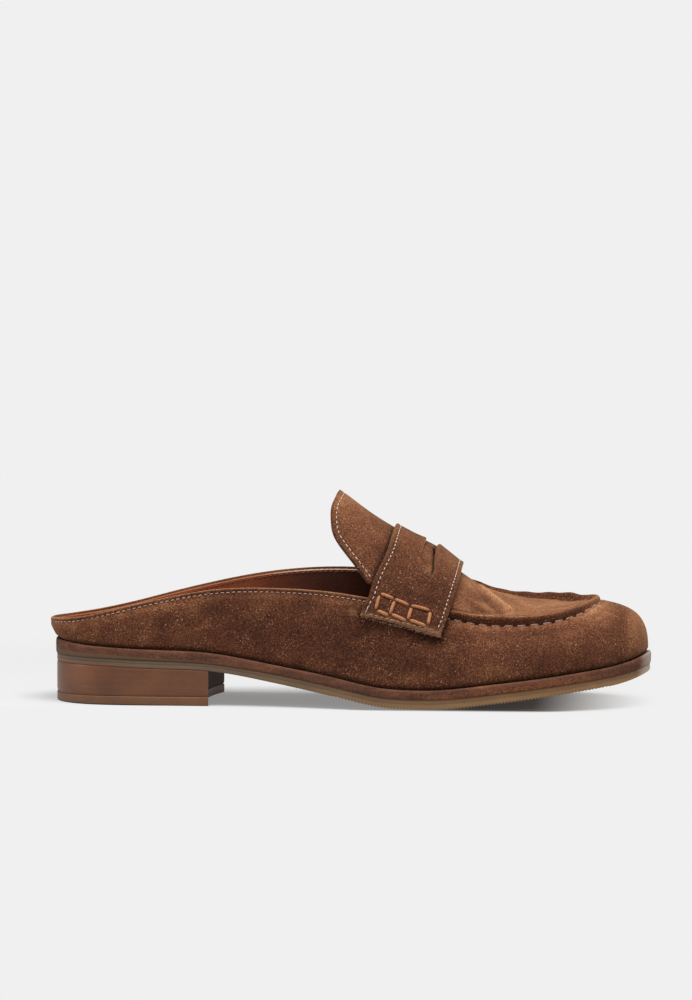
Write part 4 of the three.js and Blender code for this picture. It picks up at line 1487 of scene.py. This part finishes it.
def strap_face(share, across, proud=0.0):
    """The strap's outer face at its own coordinates, and the outward direction there."""
    share, across = np.broadcast_arrays(np.asarray(share, float), np.asarray(across, float))
    point, normal = surface_line(strap_point, share, across, v_step=0.07)
    height = strap_lift(share) + STRAP_THICKNESS + proud
    return point + normal * np.asarray(height)[..., None], normal


class StrapEnd:
    """The strap's lower end on one side, measured as it is seen from that side.

    A place is given in millimetres along the end's edge from its rear corner, and above the edge.
    """

    def __init__(self, side):
        self.side = side
        rear = strap_face(0.0, side * strap_end(0.0))[0]
        front = strap_face(1.0, side * strap_end(1.0))[0]
        self.corner = rear[[0, 2]]
        self.along = unit(front[[0, 2]] - rear[[0, 2]])
        self.above = np.array([-self.along[1], self.along[0]])
        self.length = np.linalg.norm(front[[0, 2]] - rear[[0, 2]])

    def measure(self, share, across):
        seen = strap_face(share, self.side * across)[0][..., [0, 2]] - self.corner
        return np.stack([seen @ self.along, seen @ self.above], axis=-1)

    def find(self, along, above):
        """Share along the strap and place across it, found by a few straight steps."""
        share = np.asarray(along, float) / self.length
        across = strap_end(share) - np.asarray(above, float) / STRAP_UNIT
        target = np.stack([along, above], axis=-1)
        step = 0.01
        for _ in range(8):
            here = self.measure(share, across)
            by_share = (self.measure(share + step, across) - here) / step
            by_across = (self.measure(share, across + step) - here) / step
            gap = target - here
            size = by_share[..., 0] * by_across[..., 1] - by_share[..., 1] * by_across[..., 0]
            share = share + (gap[..., 0] * by_across[..., 1] - gap[..., 1] * by_across[..., 0]) / size
            across = across + (gap[..., 1] * by_share[..., 0] - gap[..., 0] * by_share[..., 1]) / size
        return share, self.side * across

    def path(self, along, above):
        share, across = self.find(along, above)
        return strap_face(share, across)


STRAP_ENDS = [StrapEnd(side) for side in (-1, 1)]


def strap_rows():
    """Lines of the strap's stitching: the rear and front rows, and one at each lower end."""
    across = np.linspace(-1, 1, 500)
    reach = [end.find(EDGE_ROW_INSET, STRAP_END_ROW)[1] for end in STRAP_ENDS]
    rear_across = lerp(reach[0], reach[1], (across + 1) / 2)
    reach = [end.find(end.length - EDGE_ROW_INSET, STRAP_END_ROW)[1] for end in STRAP_ENDS]
    front_across = lerp(reach[0], reach[1], (across + 1) / 2)
    rows = []
    for share, places, sign in ((0.0, rear_across, 1), (1.0, front_across, -1)):
        edge = strap_point(share, places)
        inside = strap_point(share + sign * 0.1, places)
        inset = 0.1 * EDGE_ROW_INSET / np.linalg.norm(inside - edge, axis=1)
        rows.append(strap_face(share + sign * inset, places))
    for end in STRAP_ENDS:
        along = np.linspace(EDGE_ROW_INSET, end.length - EDGE_ROW_INSET, 120)
        rows.append(end.path(along, np.full(along.shape, float(STRAP_END_ROW))))
    return rows


def strap_outline():
    """Points close together under the strap's whole edge, on the form it lies over."""
    across = np.linspace(-1, 1, 500)
    share = np.linspace(0, 1, 120)
    edges = [strap_point(place + 0 * across, across * strap_end(place)) for place in (0.0, 1.0)]
    edges += [strap_point(share, side * strap_end(share)) for side in (-1, 1)]
    return np.concatenate(edges)


# How far the strap's flap stands up in front of the slot, and where its cut edge turns inwards
FLAP_LIFT = 1.1
STRAP_MIDDLE = 0.75


def dress_strap():
    """The strap's suede. Gives the threads of its two long rows, and those of its lower ends."""
    sheet = strap_sheet()
    points, faces, marks = used_only(
        sheet.points, sheet.faces, {name: sheet.mark(name) for name in ("share", "across")}
    )
    normals = vertex_normals(points, faces)
    gap, _ = nearest(points, open_edge_samples(faces, points))
    ahead = points[:, 0] - SLOT_CENTRE[0] - slot_half_width(points[:, 1])
    flap = bell((points[:, 1] - SLOT_CENTRE[1]) / 8) * bell(ahead / 3.5) * (ahead > -0.5)
    lift = strap_lift(marks["share"]) + FLAP_LIFT * flap
    round_off = EDGE_ROUND * rounded_edge(gap, 0.55)
    rows = strap_rows()
    run = np.concatenate([walked(line) for line, _ in rows])
    top = points + normals * (lift + STRAP_THICKNESS)[:, None]
    off, index = nearest(top, np.concatenate([line for line, _ in rows]))
    wave = 0.2 * ripple(points, 17, 21) + 0.1 * ripple(points, 7, 22)
    swollen = 0.12 * bell((gap - 0.9) / 0.6)
    top += normals * (wave + swollen - round_off - 0.22 * bell(off / 0.45))[:, None]
    middle = points + normals * (lift + STRAP_MIDDLE)[:, None]
    bottom = points + normals * lift[:, None]
    solid, all_faces, _ = solid_between([top, middle, bottom], faces)
    far = np.full(len(points), NO_ROW)
    end_gap = np.abs(strap_end(marks["share"]) - np.abs(marks["across"]))
    raw = bell(end_gap / 0.055)
    # Painted light from above: lighter over the strap's crown, darker down its sides; lighter near its
    # edges
    tone = STRAP_SHADE + 0.3 * bell((marks["across"] + 0.1) / 0.4)
    tone -= 0.12 * smooth((np.abs(marks["across"]) - 0.5) / 0.6)
    tone += 0.14 * bell((gap - 0.6) / 0.8)
    marks_out = {
        "tone": np.concatenate([tone, tone - 0.3, tone - 0.5]),
        "holes": np.tile(run[index] / STITCH_PITCH, 3),
        "row": np.concatenate([off, far, far]),
        "edge": np.concatenate([0.5 * raw, raw, raw]),
    }
    make_piece("strap_suede", solid, all_faces, [SUEDE], "suede", ["strap"], marks_out, crease=70)
    parts = []
    for line, normal in rows:
        parts.append(stitch_row(line, normal))
    for end in STRAP_ENDS:
        line, normal = end.path(np.linspace(2.9, 2.1, 60), np.linspace(5.4, 1.5, 60))
        parts.append(stitch_row(line, normal, 1.35, 1.25, 0.24, 0.1, 0.0))
    return parts[0] + parts[1], parts[2] + parts[3] + parts[4] + parts[5]


def dress_slot():
    """The layer under the strap that shows in the slot: near its face behind, deeper in front, with
    painted shade in front under the flap.
    """
    columns, parted = slot_columns()
    columns = columns[np.pad(parted, 1)[2:] | parted | np.pad(parted, 1)[:-2]]
    rear = share_at(columns, lambda y: -slot_half_width(y) - SLOT_HIDDEN_EDGE)
    front = share_at(columns, lambda y: slot_half_width(y) + SLOT_HIDDEN_EDGE)
    sheet = Sheet()
    middle = (columns[0] + columns[-1]) / 2
    reach = np.abs(columns - middle) / (columns[-1] - middle)
    rows = []
    for fraction in np.linspace(0, 1, 15):
        share = lerp(rear, front, fraction)
        point, normal = strap_face(share, columns)
        depth = lerp(SLOT_DEPTH_MIDDLE, SLOT_DEPTH_END, smooth(reach / 0.9))
        depth = depth + 1.3 * smooth((fraction - 0.78) / 0.1)
        # The dark mark paints shade on the front part, under the flap
        rows.append(sheet.add(point - normal * depth[:, None], dark=smooth((fraction - 0.72) / 0.1)))
    for first, second in zip(rows, rows[1:]):
        sheet.strip(second, first)
    points = sheet.points
    normals = vertex_normals(points, sheet.faces)
    solid, faces, _ = solid_between([points, points - normals * 0.5], sheet.faces)
    tone = STRAP_SHADE + 0.25 + 0.15 * ripple(points, 6, 41) - 1.1 * sheet.mark("dark")
    marks = {"tone": np.tile(tone, 2), "row": np.full(len(solid), NO_ROW)}
    make_piece("slot_underlay", solid, faces, [SUEDE], "suede", (), marks, crease=70)


def fibres(roots, directions, draws, length, radius):
    """Loose curved hairs from given roots, each leaning its own way."""
    parts = []
    share = np.linspace(0, 1, 4)[:, None]
    for root, direction in zip(roots, directions):
        lean = unit(direction + draws.normal(size=3) * 0.55)
        bend = draws.normal(size=3) * 0.35
        reach = length * draws.uniform(0.4, 1.3)
        path = root + (lean * share + bend * share**2) * reach
        parts.append(tube(path, np.tile(direction, (4, 1)), radius, sides=3))
    return parts


END_FIBRES = 240
SLOT_FIBRES = 46


def strap_fibres():
    """Fuzz along the raw lower ends of the strap and the slot's two ends."""
    draws = np.random.default_rng(8)
    down = np.array([0, 0, -1.0])
    parts = []
    for end in STRAP_ENDS:
        along = draws.uniform(0, end.length, END_FIBRES)
        point, normal = end.path(along, draws.uniform(-0.1, 0.35, END_FIBRES))
        roots = point - normal * draws.uniform(0, 1.2, END_FIBRES)[:, None]
        parts += fibres(roots, normal * 0.6 + down, draws, 0.8, 0.05)
    columns, parted = slot_columns()
    for across in (columns[parted][0], columns[parted][-1]):
        places = across + draws.uniform(-0.03, 0.03, SLOT_FIBRES)
        shares = share_at(places, lambda y: draws.uniform(-2.6, 2.6, SLOT_FIBRES))
        point, normal = strap_face(shares, places)
        parts += fibres(point - normal * 0.1, normal * 0.7, draws, 0.9, 0.045)
    return parts


# The tongue

tongue_end = curve(TONGUE_END["across"], along_sole(TONGUE_END["at"]))
# Shares of the tongue's length that its last rows keep from its free end
TONGUE_EDGE_STEPS = np.array([0.1, 0.075, 0.055, 0.038, 0.024, 0.014, 0.006, 0])


def tongue_point(share, across):
    """The tongue's outer face: share 0 at the throat and 1 at its free end."""
    return instep_point(lerp(TONGUE_STATION, station_at(tongue_end(across)), share), across)


def tongue_row(across, shares, gap):
    """The line of the tongue's stitches, an even way inside its free edge, and its directions."""
    side = across[-1]
    kept = np.abs(across) < side - 0.02
    gap_columns = gap.reshape(len(shares), len(across)).T[kept]
    levels = np.array([np.interp(-TONGUE_ROW_INSET, -column, shares) for column in gap_columns])
    walk = walked(tongue_point(levels, across[kept]))
    even = np.linspace(0, walk[-1], 900)
    line_share = np.interp(even, walk, levels)
    line_across = np.interp(even, walk, across[kept])
    return surface_line(tongue_point, line_share, line_across)


def dress_tongue():
    """The tongue: suede outside, lining behind, and a dark cut edge. Gives its threads."""
    width = np.linalg.norm(rim_point(TONGUE_STATION) - rim_point(LOOP - TONGUE_STATION))
    side = 1 - 2 * TONGUE_TUCK / width
    turn = 0.46 * math.pi
    across = side * np.sin(np.linspace(-turn, turn, 131)) / math.sin(turn)
    shares = np.concatenate([np.linspace(0, 0.9, 44)[:-1], 1 - TONGUE_EDGE_STEPS])
    sheet = Sheet()
    rows = [
        sheet.add(tongue_point(np.full(across.shape, share), across), share=share, across=across)
        for share in shares
    ]
    for first, second in zip(rows, rows[1:]):
        sheet.strip(first, second)
    points = sheet.points
    normals = vertex_normals(points, sheet.faces)
    fine = np.linspace(-side, side, 1500)
    gap, _ = nearest(points, tongue_point(np.ones(fine.shape), fine))
    line, line_normals = tongue_row(across, shares, gap)
    run = walked(line)
    off, index = nearest(points, line)
    relief = 0.25 * ripple(points, 20, 31) - EDGE_ROUND * rounded_edge(gap, 0.6)
    relief -= 0.2 * bell(off / 0.45)
    outer = points + normals * relief[:, None]
    parting = points - normals * TONGUE_SUEDE
    inner = points - normals * TONGUE_WALL
    solid, faces, band = solid_between([outer, parting, inner], sheet.faces)
    far = np.full(len(points), NO_ROW)
    indices = np.zeros(len(faces), int)
    indices[len(sheet.faces):2 * len(sheet.faces)] = 1
    indices[len(faces) - band:] = 2
    # Painted light from above: lighter high on the tongue, darker lower down; darker along its free edge
    tone = TONGUE_SHADE + 0.3 * bell((points[:, 2] - 90) / 8) - 0.2 * bell((points[:, 2] - 62) / 8)
    tone -= 0.45 * bell(gap / 0.6)
    # Painted shadow along the strap's edge
    strap_gap, _ = nearest(points, strap_outline())
    tone -= 0.9 * bell(strap_gap / 0.7) + 0.25 * bell(strap_gap / 2)
    marks = {
        "tone": np.concatenate([tone, tone - 0.5, tone]),
        "holes": np.tile(run[index] / STITCH_PITCH, 3),
        "row": np.concatenate([off, far, far]),
        # The tongue's lining side takes the lining's full painted shade
        "depth": np.ones(len(solid)),
    }
    skins = [SUEDE, LINING, DARK_EDGE]
    make_piece("tongue_suede", solid, faces, skins, "suede", ["tongue"], marks, indices, crease=70)
    return stitch_row(line, line_normals)


# Sole and heel


def capped(bottom, rings, top, edge, faces, bands):
    """Closed solid of two caps of one pattern and the rings of side points between their edges."""
    sheet = Sheet()
    low = sheet.add(bottom, band=0)
    sheet.faces = [list(face) for face in faces]
    row = low[edge]
    for ring, band in zip(rings, bands):
        following = sheet.add(ring, band=band)
        sheet.strip(row, following, closed=True)
        row = following
    high = sheet.add(top, band=1)
    sheet.strip(row, high[edge], closed=True)
    sheet.faces += [[high[i] for i in face[::-1]] for face in faces]
    sheet.faces = [[int(i) for i in face] for face in sheet.faces]
    return sheet


class SolePlan:
    """Cap pattern inside the outline: rings near the edge, and a ladder between the two sides."""

    def __init__(self, places, insets, columns):
        self.places = places
        self.insets = insets
        self.columns = columns
        self.edge = np.arange(len(places))
        sheet = Sheet()
        rings = [sheet.add(np.zeros((len(places), 3))) for _ in insets]
        for outer, inner in zip(rings, rings[1:]):
            sheet.strip(outer, inner, closed=True)
        half = len(places) // 2
        ring = rings[-1]
        rows = []
        for j in range(1, half):
            inner = sheet.add(np.zeros((columns - 1, 3)))
            rows.append(np.concatenate([[ring[j]], inner, [ring[len(places) - j]]]))
        for first, second in zip(rows, rows[1:]):
            sheet.strip(second, first)
        sheet.fan(rows[0], ring[0])
        sheet.fan(rows[-1][::-1], ring[half])
        self.faces = sheet.faces

    def points(self, inset, height):
        """Cap points with z from height(x, how far inside the edge)."""
        blocks = []
        for step in self.insets:
            x, y, _, _ = plan_point(self.places, inset + step)
            blocks.append(stack(x, y, height(x, np.full(x.shape, step))))
        ring = blocks[-1]
        half = len(self.places) // 2
        share = np.linspace(0, 1, self.columns + 1)[1:-1]
        for j in range(1, half):
            row = lerp(ring[j], ring[len(self.places) - j], share[:, None])
            row[:, 2] = height(row[:, 0], np.full(len(share), self.insets[-1]))
            blocks.append(row)
        return np.concatenate(blocks)

    def rings(self, profile, inset, height):
        """Rings of a side profile, with z from height(x, share)."""
        found = []
        for share, step in zip(profile["share"], profile["inset"]):
            x, y, _, _ = plan_point(self.places, inset + step)
            found.append(stack(x, y, height(x, share)))
        return found


def loop_places(rear_spacing, front_spacing, split=0.35):
    turn = float(find_station(outline_x, along_sole(split)))
    rear = np.linspace(0, turn, int(turn / rear_spacing) + 1)
    front = np.linspace(turn, TOE, int((TOE - turn) / front_spacing) + 1)[1:]
    side = np.concatenate([rear, front])
    return np.concatenate([side, LOOP - side[-2:0:-1]])


# Side profiles from bottom to top: share of the height, and how far the side lies inside
OUTSOLE_PROFILE = table(
    "share inset",
    (0.02, 0.22),
    (0.07, 0.08),
    (0.16, 0),
    (0.5, 0.04),
    (0.53, 0.1),
    (0.56, 0.04),
    (0.85, 0),
    (0.95, 0.1),
)
WELT_PROFILE = table(
    "share inset",
    (0.03, 0.12),
    (0.1, 0.02),
    (0.3, 0),
    (0.6, -0.05),
    (0.82, 0.02),
    (0.9, 0.14),
    (0.96, 0.34),
    (0.99, 0.6),
)
INSOLE_PROFILE = table(
    "share inset",
    (0.1, 0),
    (0.8, 0),
    (0.93, 0.15),
)
HEEL_PROFILE = table(
    "share inset",
    (0.02, 0.25),
    (0.06, 0.08),
    (0.14, 0),
    (0.5, 0),
    (0.86, 0),
    (0.94, 0.06),
    (0.98, 0.18),
)
RIB_PITCH = 1.4
RIB_DEPTH = 0.75
RIBS_FROM = 0.47
RIBS_TO = 0.94
HEEL_SEAT_END = 38


def rib(x):
    """Rise of the fine cross ribs under the forefoot."""
    share = (x - HEEL_BACK) / SOLE_LENGTH
    zone = smooth((share - RIBS_FROM) / 0.02) * smooth((RIBS_TO - share) / 0.02)
    return RIB_DEPTH * zone * (0.5 - 0.5 * np.cos(2 * math.pi * x / RIB_PITCH))


def dress_outsole():
    plan = SolePlan(loop_places(1.2, 0.36), [0, 0.5, 2, 4.5, TREAD_SHOULDER], 16)

    def tread(x, inside):
        between_ribs = smooth((inside - 2) / 2) * smooth((x - HEEL_SEAT_END) / 6)
        return np.maximum(lower_edge(x), 0) + lerp(rib(x), RIB_DEPTH, between_ribs)

    def side(x, share):
        rise = rib(x) * (1 - share) ** 3
        return lerp(lower_edge(x), outsole_top(x) - JOINT_GAP, share) + rise

    rings = plan.rings(OUTSOLE_PROFILE, OUTSOLE_INSET, side)
    bottom = plan.points(OUTSOLE_INSET + 0.5, tread)
    top = plan.points(OUTSOLE_INSET + 0.3, lambda x, inside: outsole_top(x) - CAP_GAP)
    sheet = capped(bottom, rings, top, plan.edge, plan.faces, OUTSOLE_PROFILE["share"])
    points = sheet.points
    front = smooth((points[:, 0] - 20) / 150)
    rise = points[:, 2] - lower_edge(points[:, 0])
    stain = 1.3 * np.clip((45 - points[:, 0]) / 82, -0.5, 1)
    marks = {"band": sheet.mark("band"), "front": front, "rise": rise, "stain": stain}
    slot = "outsole_rubber"
    make_piece(slot, points, sheet.faces, [OUTSOLE], slot, ["outsole"], marks, crease=50)


def dress_welt():
    plan = SolePlan(loop_places(1.0, 0.8), [0, 2, TREAD_SHOULDER], 6)

    def side(x, share):
        return lerp(outsole_top(x), welt_top(x), share)

    rings = plan.rings(WELT_PROFILE, 0, side)
    bottom = plan.points(0.3, lambda x, inside: outsole_top(x))
    top = plan.points(0.8, lambda x, inside: welt_top(x))
    sheet = capped(bottom, rings, top, plan.edge, plan.faces, WELT_PROFILE["share"])
    points = sheet.points
    glow = 0.55 * bell((points[:, 0] - 168) / 34) * bell((sheet.mark("band") - 0.1) / 0.4)
    rise = points[:, 2] - outsole_top(points[:, 0])
    stain = 2.2 * np.clip((55 - points[:, 0]) / 92, -0.5, 1)
    marks = {"glow": glow, "rise": rise, "stain": stain}
    slot = "welt_leather"
    make_piece(slot, points, sheet.faces, [WELT], slot, ["welt"], marks, crease=50)


def dress_insole():
    inset = WELT_MARGIN + UPPER_WALL + 2 * CLEARANCE
    plan = SolePlan(loop_places(1.6, 1.6), [0, 1, 3, TREAD_SHOULDER], 14)

    def side(x, share):
        return welt_top(x) + CLEARANCE + INSOLE_THICKNESS * share

    def dish(x, inside):
        return side(x, 1) - 0.5 * smooth(inside / TREAD_SHOULDER)

    rings = plan.rings(INSOLE_PROFILE, inset, side)
    bottom = plan.points(inset, lambda x, inside: side(x, 0))
    top = plan.points(inset + 0.45, dish)
    sheet = capped(bottom, rings, top, plan.edge, plan.faces, INSOLE_PROFILE["share"])
    slot = "lining_leather"
    make_piece("insole_leather", sheet.points, sheet.faces, [LINING], slot, ["insole"], crease=50)


HEEL_ROWS = 90
HEEL_COLUMNS = 60


def heel_plan(inset):
    """Plan points of the heel from its back to the hollowed breast, drawn in by an inset."""
    corner = float(find_station(outline_x, HEEL_BACK + HEEL_LENGTH - inset))
    back_x, back_y, _, _ = plan_point(0.0, OUTSOLE_INSET + inset)
    blocks = [np.array([[back_x, back_y, 0.0]])]
    side = np.linspace(0, 1, HEEL_COLUMNS + 1)
    for j in range(1, HEEL_ROWS + 1):
        share = j / HEEL_ROWS
        outer_x, outer_y, _, _ = plan_point(corner * share, OUTSOLE_INSET + inset)
        inner_x, inner_y, _, _ = plan_point(LOOP - corner * share, OUTSOLE_INSET + inset)
        hollow = BREAST_HOLLOW * share**4 * 4 * side * (1 - side)
        x = lerp(outer_x, inner_x, side) - hollow
        blocks.append(stack(x, lerp(outer_y, inner_y, side), 0.0))
    return np.concatenate(blocks)


def heel_pattern():
    """Faces of the heel's plan, and the points along its edge."""
    sheet = Sheet()
    tip = sheet.add(np.zeros((1, 3)))
    rows = [sheet.add(np.zeros((HEEL_COLUMNS + 1, 3))) for _ in range(HEEL_ROWS)]
    sheet.fan(rows[0][::-1], tip[0])
    for first, second in zip(rows, rows[1:]):
        sheet.strip(first, second)
    outer = [row[0] for row in rows]
    inner = [row[-1] for row in rows]
    edge = np.array([tip[0], *outer, *rows[-1][1:-1], *inner[::-1]])
    return sheet.faces, edge


def heel_level(inset, share, low, high):
    """Plan points of a heel piece, raised to a share of the way from its bottom to its top."""
    points = heel_plan(inset)
    points[:, 2] = lerp(low(points[:, 0]), high(points[:, 0]), share)
    return points


def level_at(z):
    return lambda x: np.full(x.shape, z)


def stack_top(x):
    return lower_edge(x) - JOINT_GAP


def dress_heel():
    faces, edge = heel_pattern()
    for name, material, slot, low, high in (
        ("heel_lift", LIFT, "lift_rubber", level_at(0.0), level_at(LIFT_TOP)),
        ("heel_stack", HEEL, "heel_leather", level_at(STACK_BOTTOM), stack_top),
    ):
        rings = [
            heel_level(inset, share, low, high)[edge]
            for share, inset in zip(HEEL_PROFILE["share"], HEEL_PROFILE["inset"])
        ]
        bottom = heel_level(0.4, 0, low, high)
        top = heel_level(0.35, 1, low, high)
        sheet = capped(bottom, rings, top, edge, faces, HEEL_PROFILE["share"])
        make_piece(f"{name}_finish", sheet.points, sheet.faces, [material], slot, [name], crease=40)


# Seam and box stitching


SEAM_ROW_DROP = 2.35
SEAM_STITCH = {"length": 3.7, "radius": 0.33, "height": 0.04, "twist": 0.24}


def seam_stitches():
    """Threads that lie in the groove at the outer foot of the moccasin seam, on both sides."""
    start = float(station_at(along_sole(SEAM_START + 0.02)))
    return [
        stitch(line, normals, runs, (i + 0.14) * SEAM_PITCH, **SEAM_STITCH)
        for line, normals, runs in lines_below_rim(start, TOE, SEAM_ROW_DROP)
        for i in range(math.ceil(runs[0] / SEAM_PITCH), int(runs[-1] / SEAM_PITCH))
    ]


# The thick threads at each lower end of the strap, a row for each: where it comes out and goes in,
# in millimetres along the end from its rear corner and above its edge
BOX_THREADS = table(
    "along above to_along to_above",
    (6.0, 9.9, 6.1, 4.3),
    (6.5, 10.9, 12.1, 10.0),
    (7.0, 3.9, 11.7, 3.1),
    (12.8, 9.1, 12.4, 3.8),
    (12.7, 10.0, 18.9, 8.9),
    (13.1, 3.9, 19.5, 2.7),
    (20.3, 8.0, 20.2, 3.5),
    (20.0, 9.0, 27.9, 8.7),
    (20.9, 3.4, 28.1, 2.4),
    (28.4, 8.0, 28.8, 3.4),
)


def box_threads():
    parts = []
    share = np.linspace(0, 1, 19)
    dip = np.abs(2 * share - 1) ** 6
    for end in STRAP_ENDS:
        for along, above, to_along, to_above in zip(*BOX_THREADS.values()):
            path, normals = end.path(lerp(along, to_along, share), lerp(above, to_above, share))
            height = CORD_RADIUS * (0.6 - 1.5 * dip)
            parts.append(tube(path + normals * height[:, None], normals, CORD_RADIUS, 14, 0.16, 1.7))
    return parts


dress_upper()
dress_lining()
strap_threads, end_threads = dress_strap()
dress_slot()
tongue_threads = dress_tongue()
dress_outsole()
dress_welt()
dress_insole()
dress_heel()
for name, parts, material in (
    ("strap_stitches", strap_threads, CREAM_THREAD),
    ("tongue_stitches", tongue_threads, CREAM_THREAD),
    ("topline_stitches", [*topline_stitches(), *end_threads], WORN_THREAD),
    ("lining_stitches", lining_stitches(), BROWN_THREAD),
    ("seam_stitches", seam_stitches(), GREY_THREAD),
    ("box_threads", box_threads(), TAN_THREAD),
    ("strap_fuzz", strap_fibres(), FUZZ),
):
    points, faces = join(parts)
    make_piece(name, points, faces, [material], crease=80)


# Studio: a pale floor that fades into an even backdrop, soft light from above, and the camera

BACKDROP = linear(240, 240, 240)
STUDIO_CENTRE = Vector((0.09, 0, 0))
FLOOR_SIZE = 60
FLOOR_SHADE = 0.532
# Where the floor's shadows end, in metres: from the centre, towards the front and past the toe
SHADED_RADIUS = (0.15, 0.36)
SHADE_FRONT = (-0.042, -0.033)
SHADE_TOE = (0.165, 0.23)
# How much the floor glows under the heel and under the toe, and where along the shoe that changes
FLOOR_GLOW = (0.28, 0.03)
GLOW_CHANGE = (0.1, 0.15)
AMBIENT = 0.36
# Soft lamps: name, place, aim, width and height in metres, and power in watts
LAMPS = (
    ("overhead", (0.14, -0.42, 1.5), (0.1, 0, 0), 1.3, 0.9, 36),
    ("front_fill", (0.4, -1.7, 0.8), (0.1, 0, 0.03), 1.4, 0.8, 1.5),
    ("heel_strip", (-0.9, -0.3, 0.4), (0, 0, 0.02), 0.25, 0.6, 2.5),
)


def make_floor():
    """Floor that takes soft shadows near the shoe and meets the backdrop's tone further out."""
    mesh = bpy.data.meshes.new("floor")
    half = FLOOR_SIZE / 2
    corners = [(-half, -half, 0), (half, -half, 0), (half, half, 0), (-half, half, 0)]
    mesh.from_pydata(corners, [], [[0, 1, 2, 3]])
    floor = bpy.data.objects.new("floor", mesh)
    bpy.context.scene.collection.objects.link(floor)
    floor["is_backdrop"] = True
    shade = (FLOOR_SHADE, FLOOR_SHADE, FLOOR_SHADE, 1)
    finish = Finish("floor", Roughness=0.9, Specular_IOR_Level=0.0, Base_Color=shade)
    near_shoe = finish.span(finish.axis("X"), *GLOW_CHANGE, *FLOOR_GLOW)
    past_toe = finish.span(finish.axis("X"), *SHADE_TOE, 0.0, 1.0)
    near_shoe = finish.math("MAXIMUM", near_shoe, past_toe)
    fade = finish.span(finish.gap_to(STUDIO_CENTRE), *SHADED_RADIUS, near_shoe, 1.0)
    fade = finish.math("MAXIMUM", fade, finish.span(finish.axis("Y"), *SHADE_FRONT, 1.0, 0.0))
    glow = finish.node("ShaderNodeEmission", {"Color": BACKDROP})
    blend = finish.node(
        "ShaderNodeMixShader", {0: fade, 1: finish.shader.outputs[0], 2: glow.outputs[0]}
    )
    output = finish.tree.nodes["Material Output"]
    finish.tree.links.new(blend.outputs[0], output.inputs["Surface"])
    mesh.materials.append(finish.material)


def area_light(name, place, aim, width, height, power):
    light = bpy.data.lights.new(name, "AREA")
    light.shape = "RECTANGLE"
    light.size = width
    light.size_y = height
    light.energy = power
    lamp = bpy.data.objects.new(name, light)
    lamp.location = place
    lamp.rotation_euler = (Vector(aim) - Vector(place)).to_track_quat("-Z", "Y").to_euler()
    lamp.visible_camera = False
    bpy.context.scene.collection.objects.link(lamp)


def make_light():
    """Even ambient light behind which the backdrop's tone is seen, and three soft lamps."""
    world = bpy.data.worlds.new("studio")
    bpy.context.scene.world = world
    world.use_nodes = True
    nodes, links = world.node_tree.nodes, world.node_tree.links
    sky = nodes["Background"]
    seen = nodes.new("ShaderNodeLightPath").outputs["Is Camera Ray"]
    tone = nodes.new("ShaderNodeMix")
    tone.data_type = "RGBA"
    tone.inputs[6].default_value = (AMBIENT, AMBIENT, AMBIENT, 1)
    tone.inputs[7].default_value = BACKDROP
    links.new(seen, tone.inputs[0])
    links.new(tone.outputs[2], sky.inputs["Color"])
    for lamp in LAMPS:
        area_light(*lamp)


CAMERA_AZIMUTH = 5.15
CAMERA_ELEVATION = 3.15
CAMERA_DISTANCE = 1.6
CAMERA_AIM = (0.0907, 0, 0.0862)
FOCAL_PIXELS = 3733
FRAME_HEIGHT = 1000
SENSOR_SIZE = 36


def make_camera():
    azimuth, elevation = math.radians(CAMERA_AZIMUTH), math.radians(CAMERA_ELEVATION)
    back = Vector((
        math.sin(azimuth) * math.cos(elevation),
        -math.cos(azimuth) * math.cos(elevation),
        math.sin(elevation),
    ))
    lens = bpy.data.cameras.new("camera")
    lens.sensor_width = SENSOR_SIZE
    lens.lens = FOCAL_PIXELS / FRAME_HEIGHT * SENSOR_SIZE
    lens.clip_start = 0.05
    lens.clip_end = 100
    camera = bpy.data.objects.new("camera", lens)
    camera.location = Vector(CAMERA_AIM) + back * CAMERA_DISTANCE
    camera.rotation_euler = (-back).to_track_quat("-Z", "Y").to_euler()
    bpy.context.scene.collection.objects.link(camera)
    bpy.context.scene.camera = camera


make_floor()
make_light()
make_camera()
bpy.context.scene.view_settings.view_transform = "Standard"

boxes = {"cad": cad_box, "visual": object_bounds()}
{name: [list(corner) for corner in box] for name, box in boxes.items()}
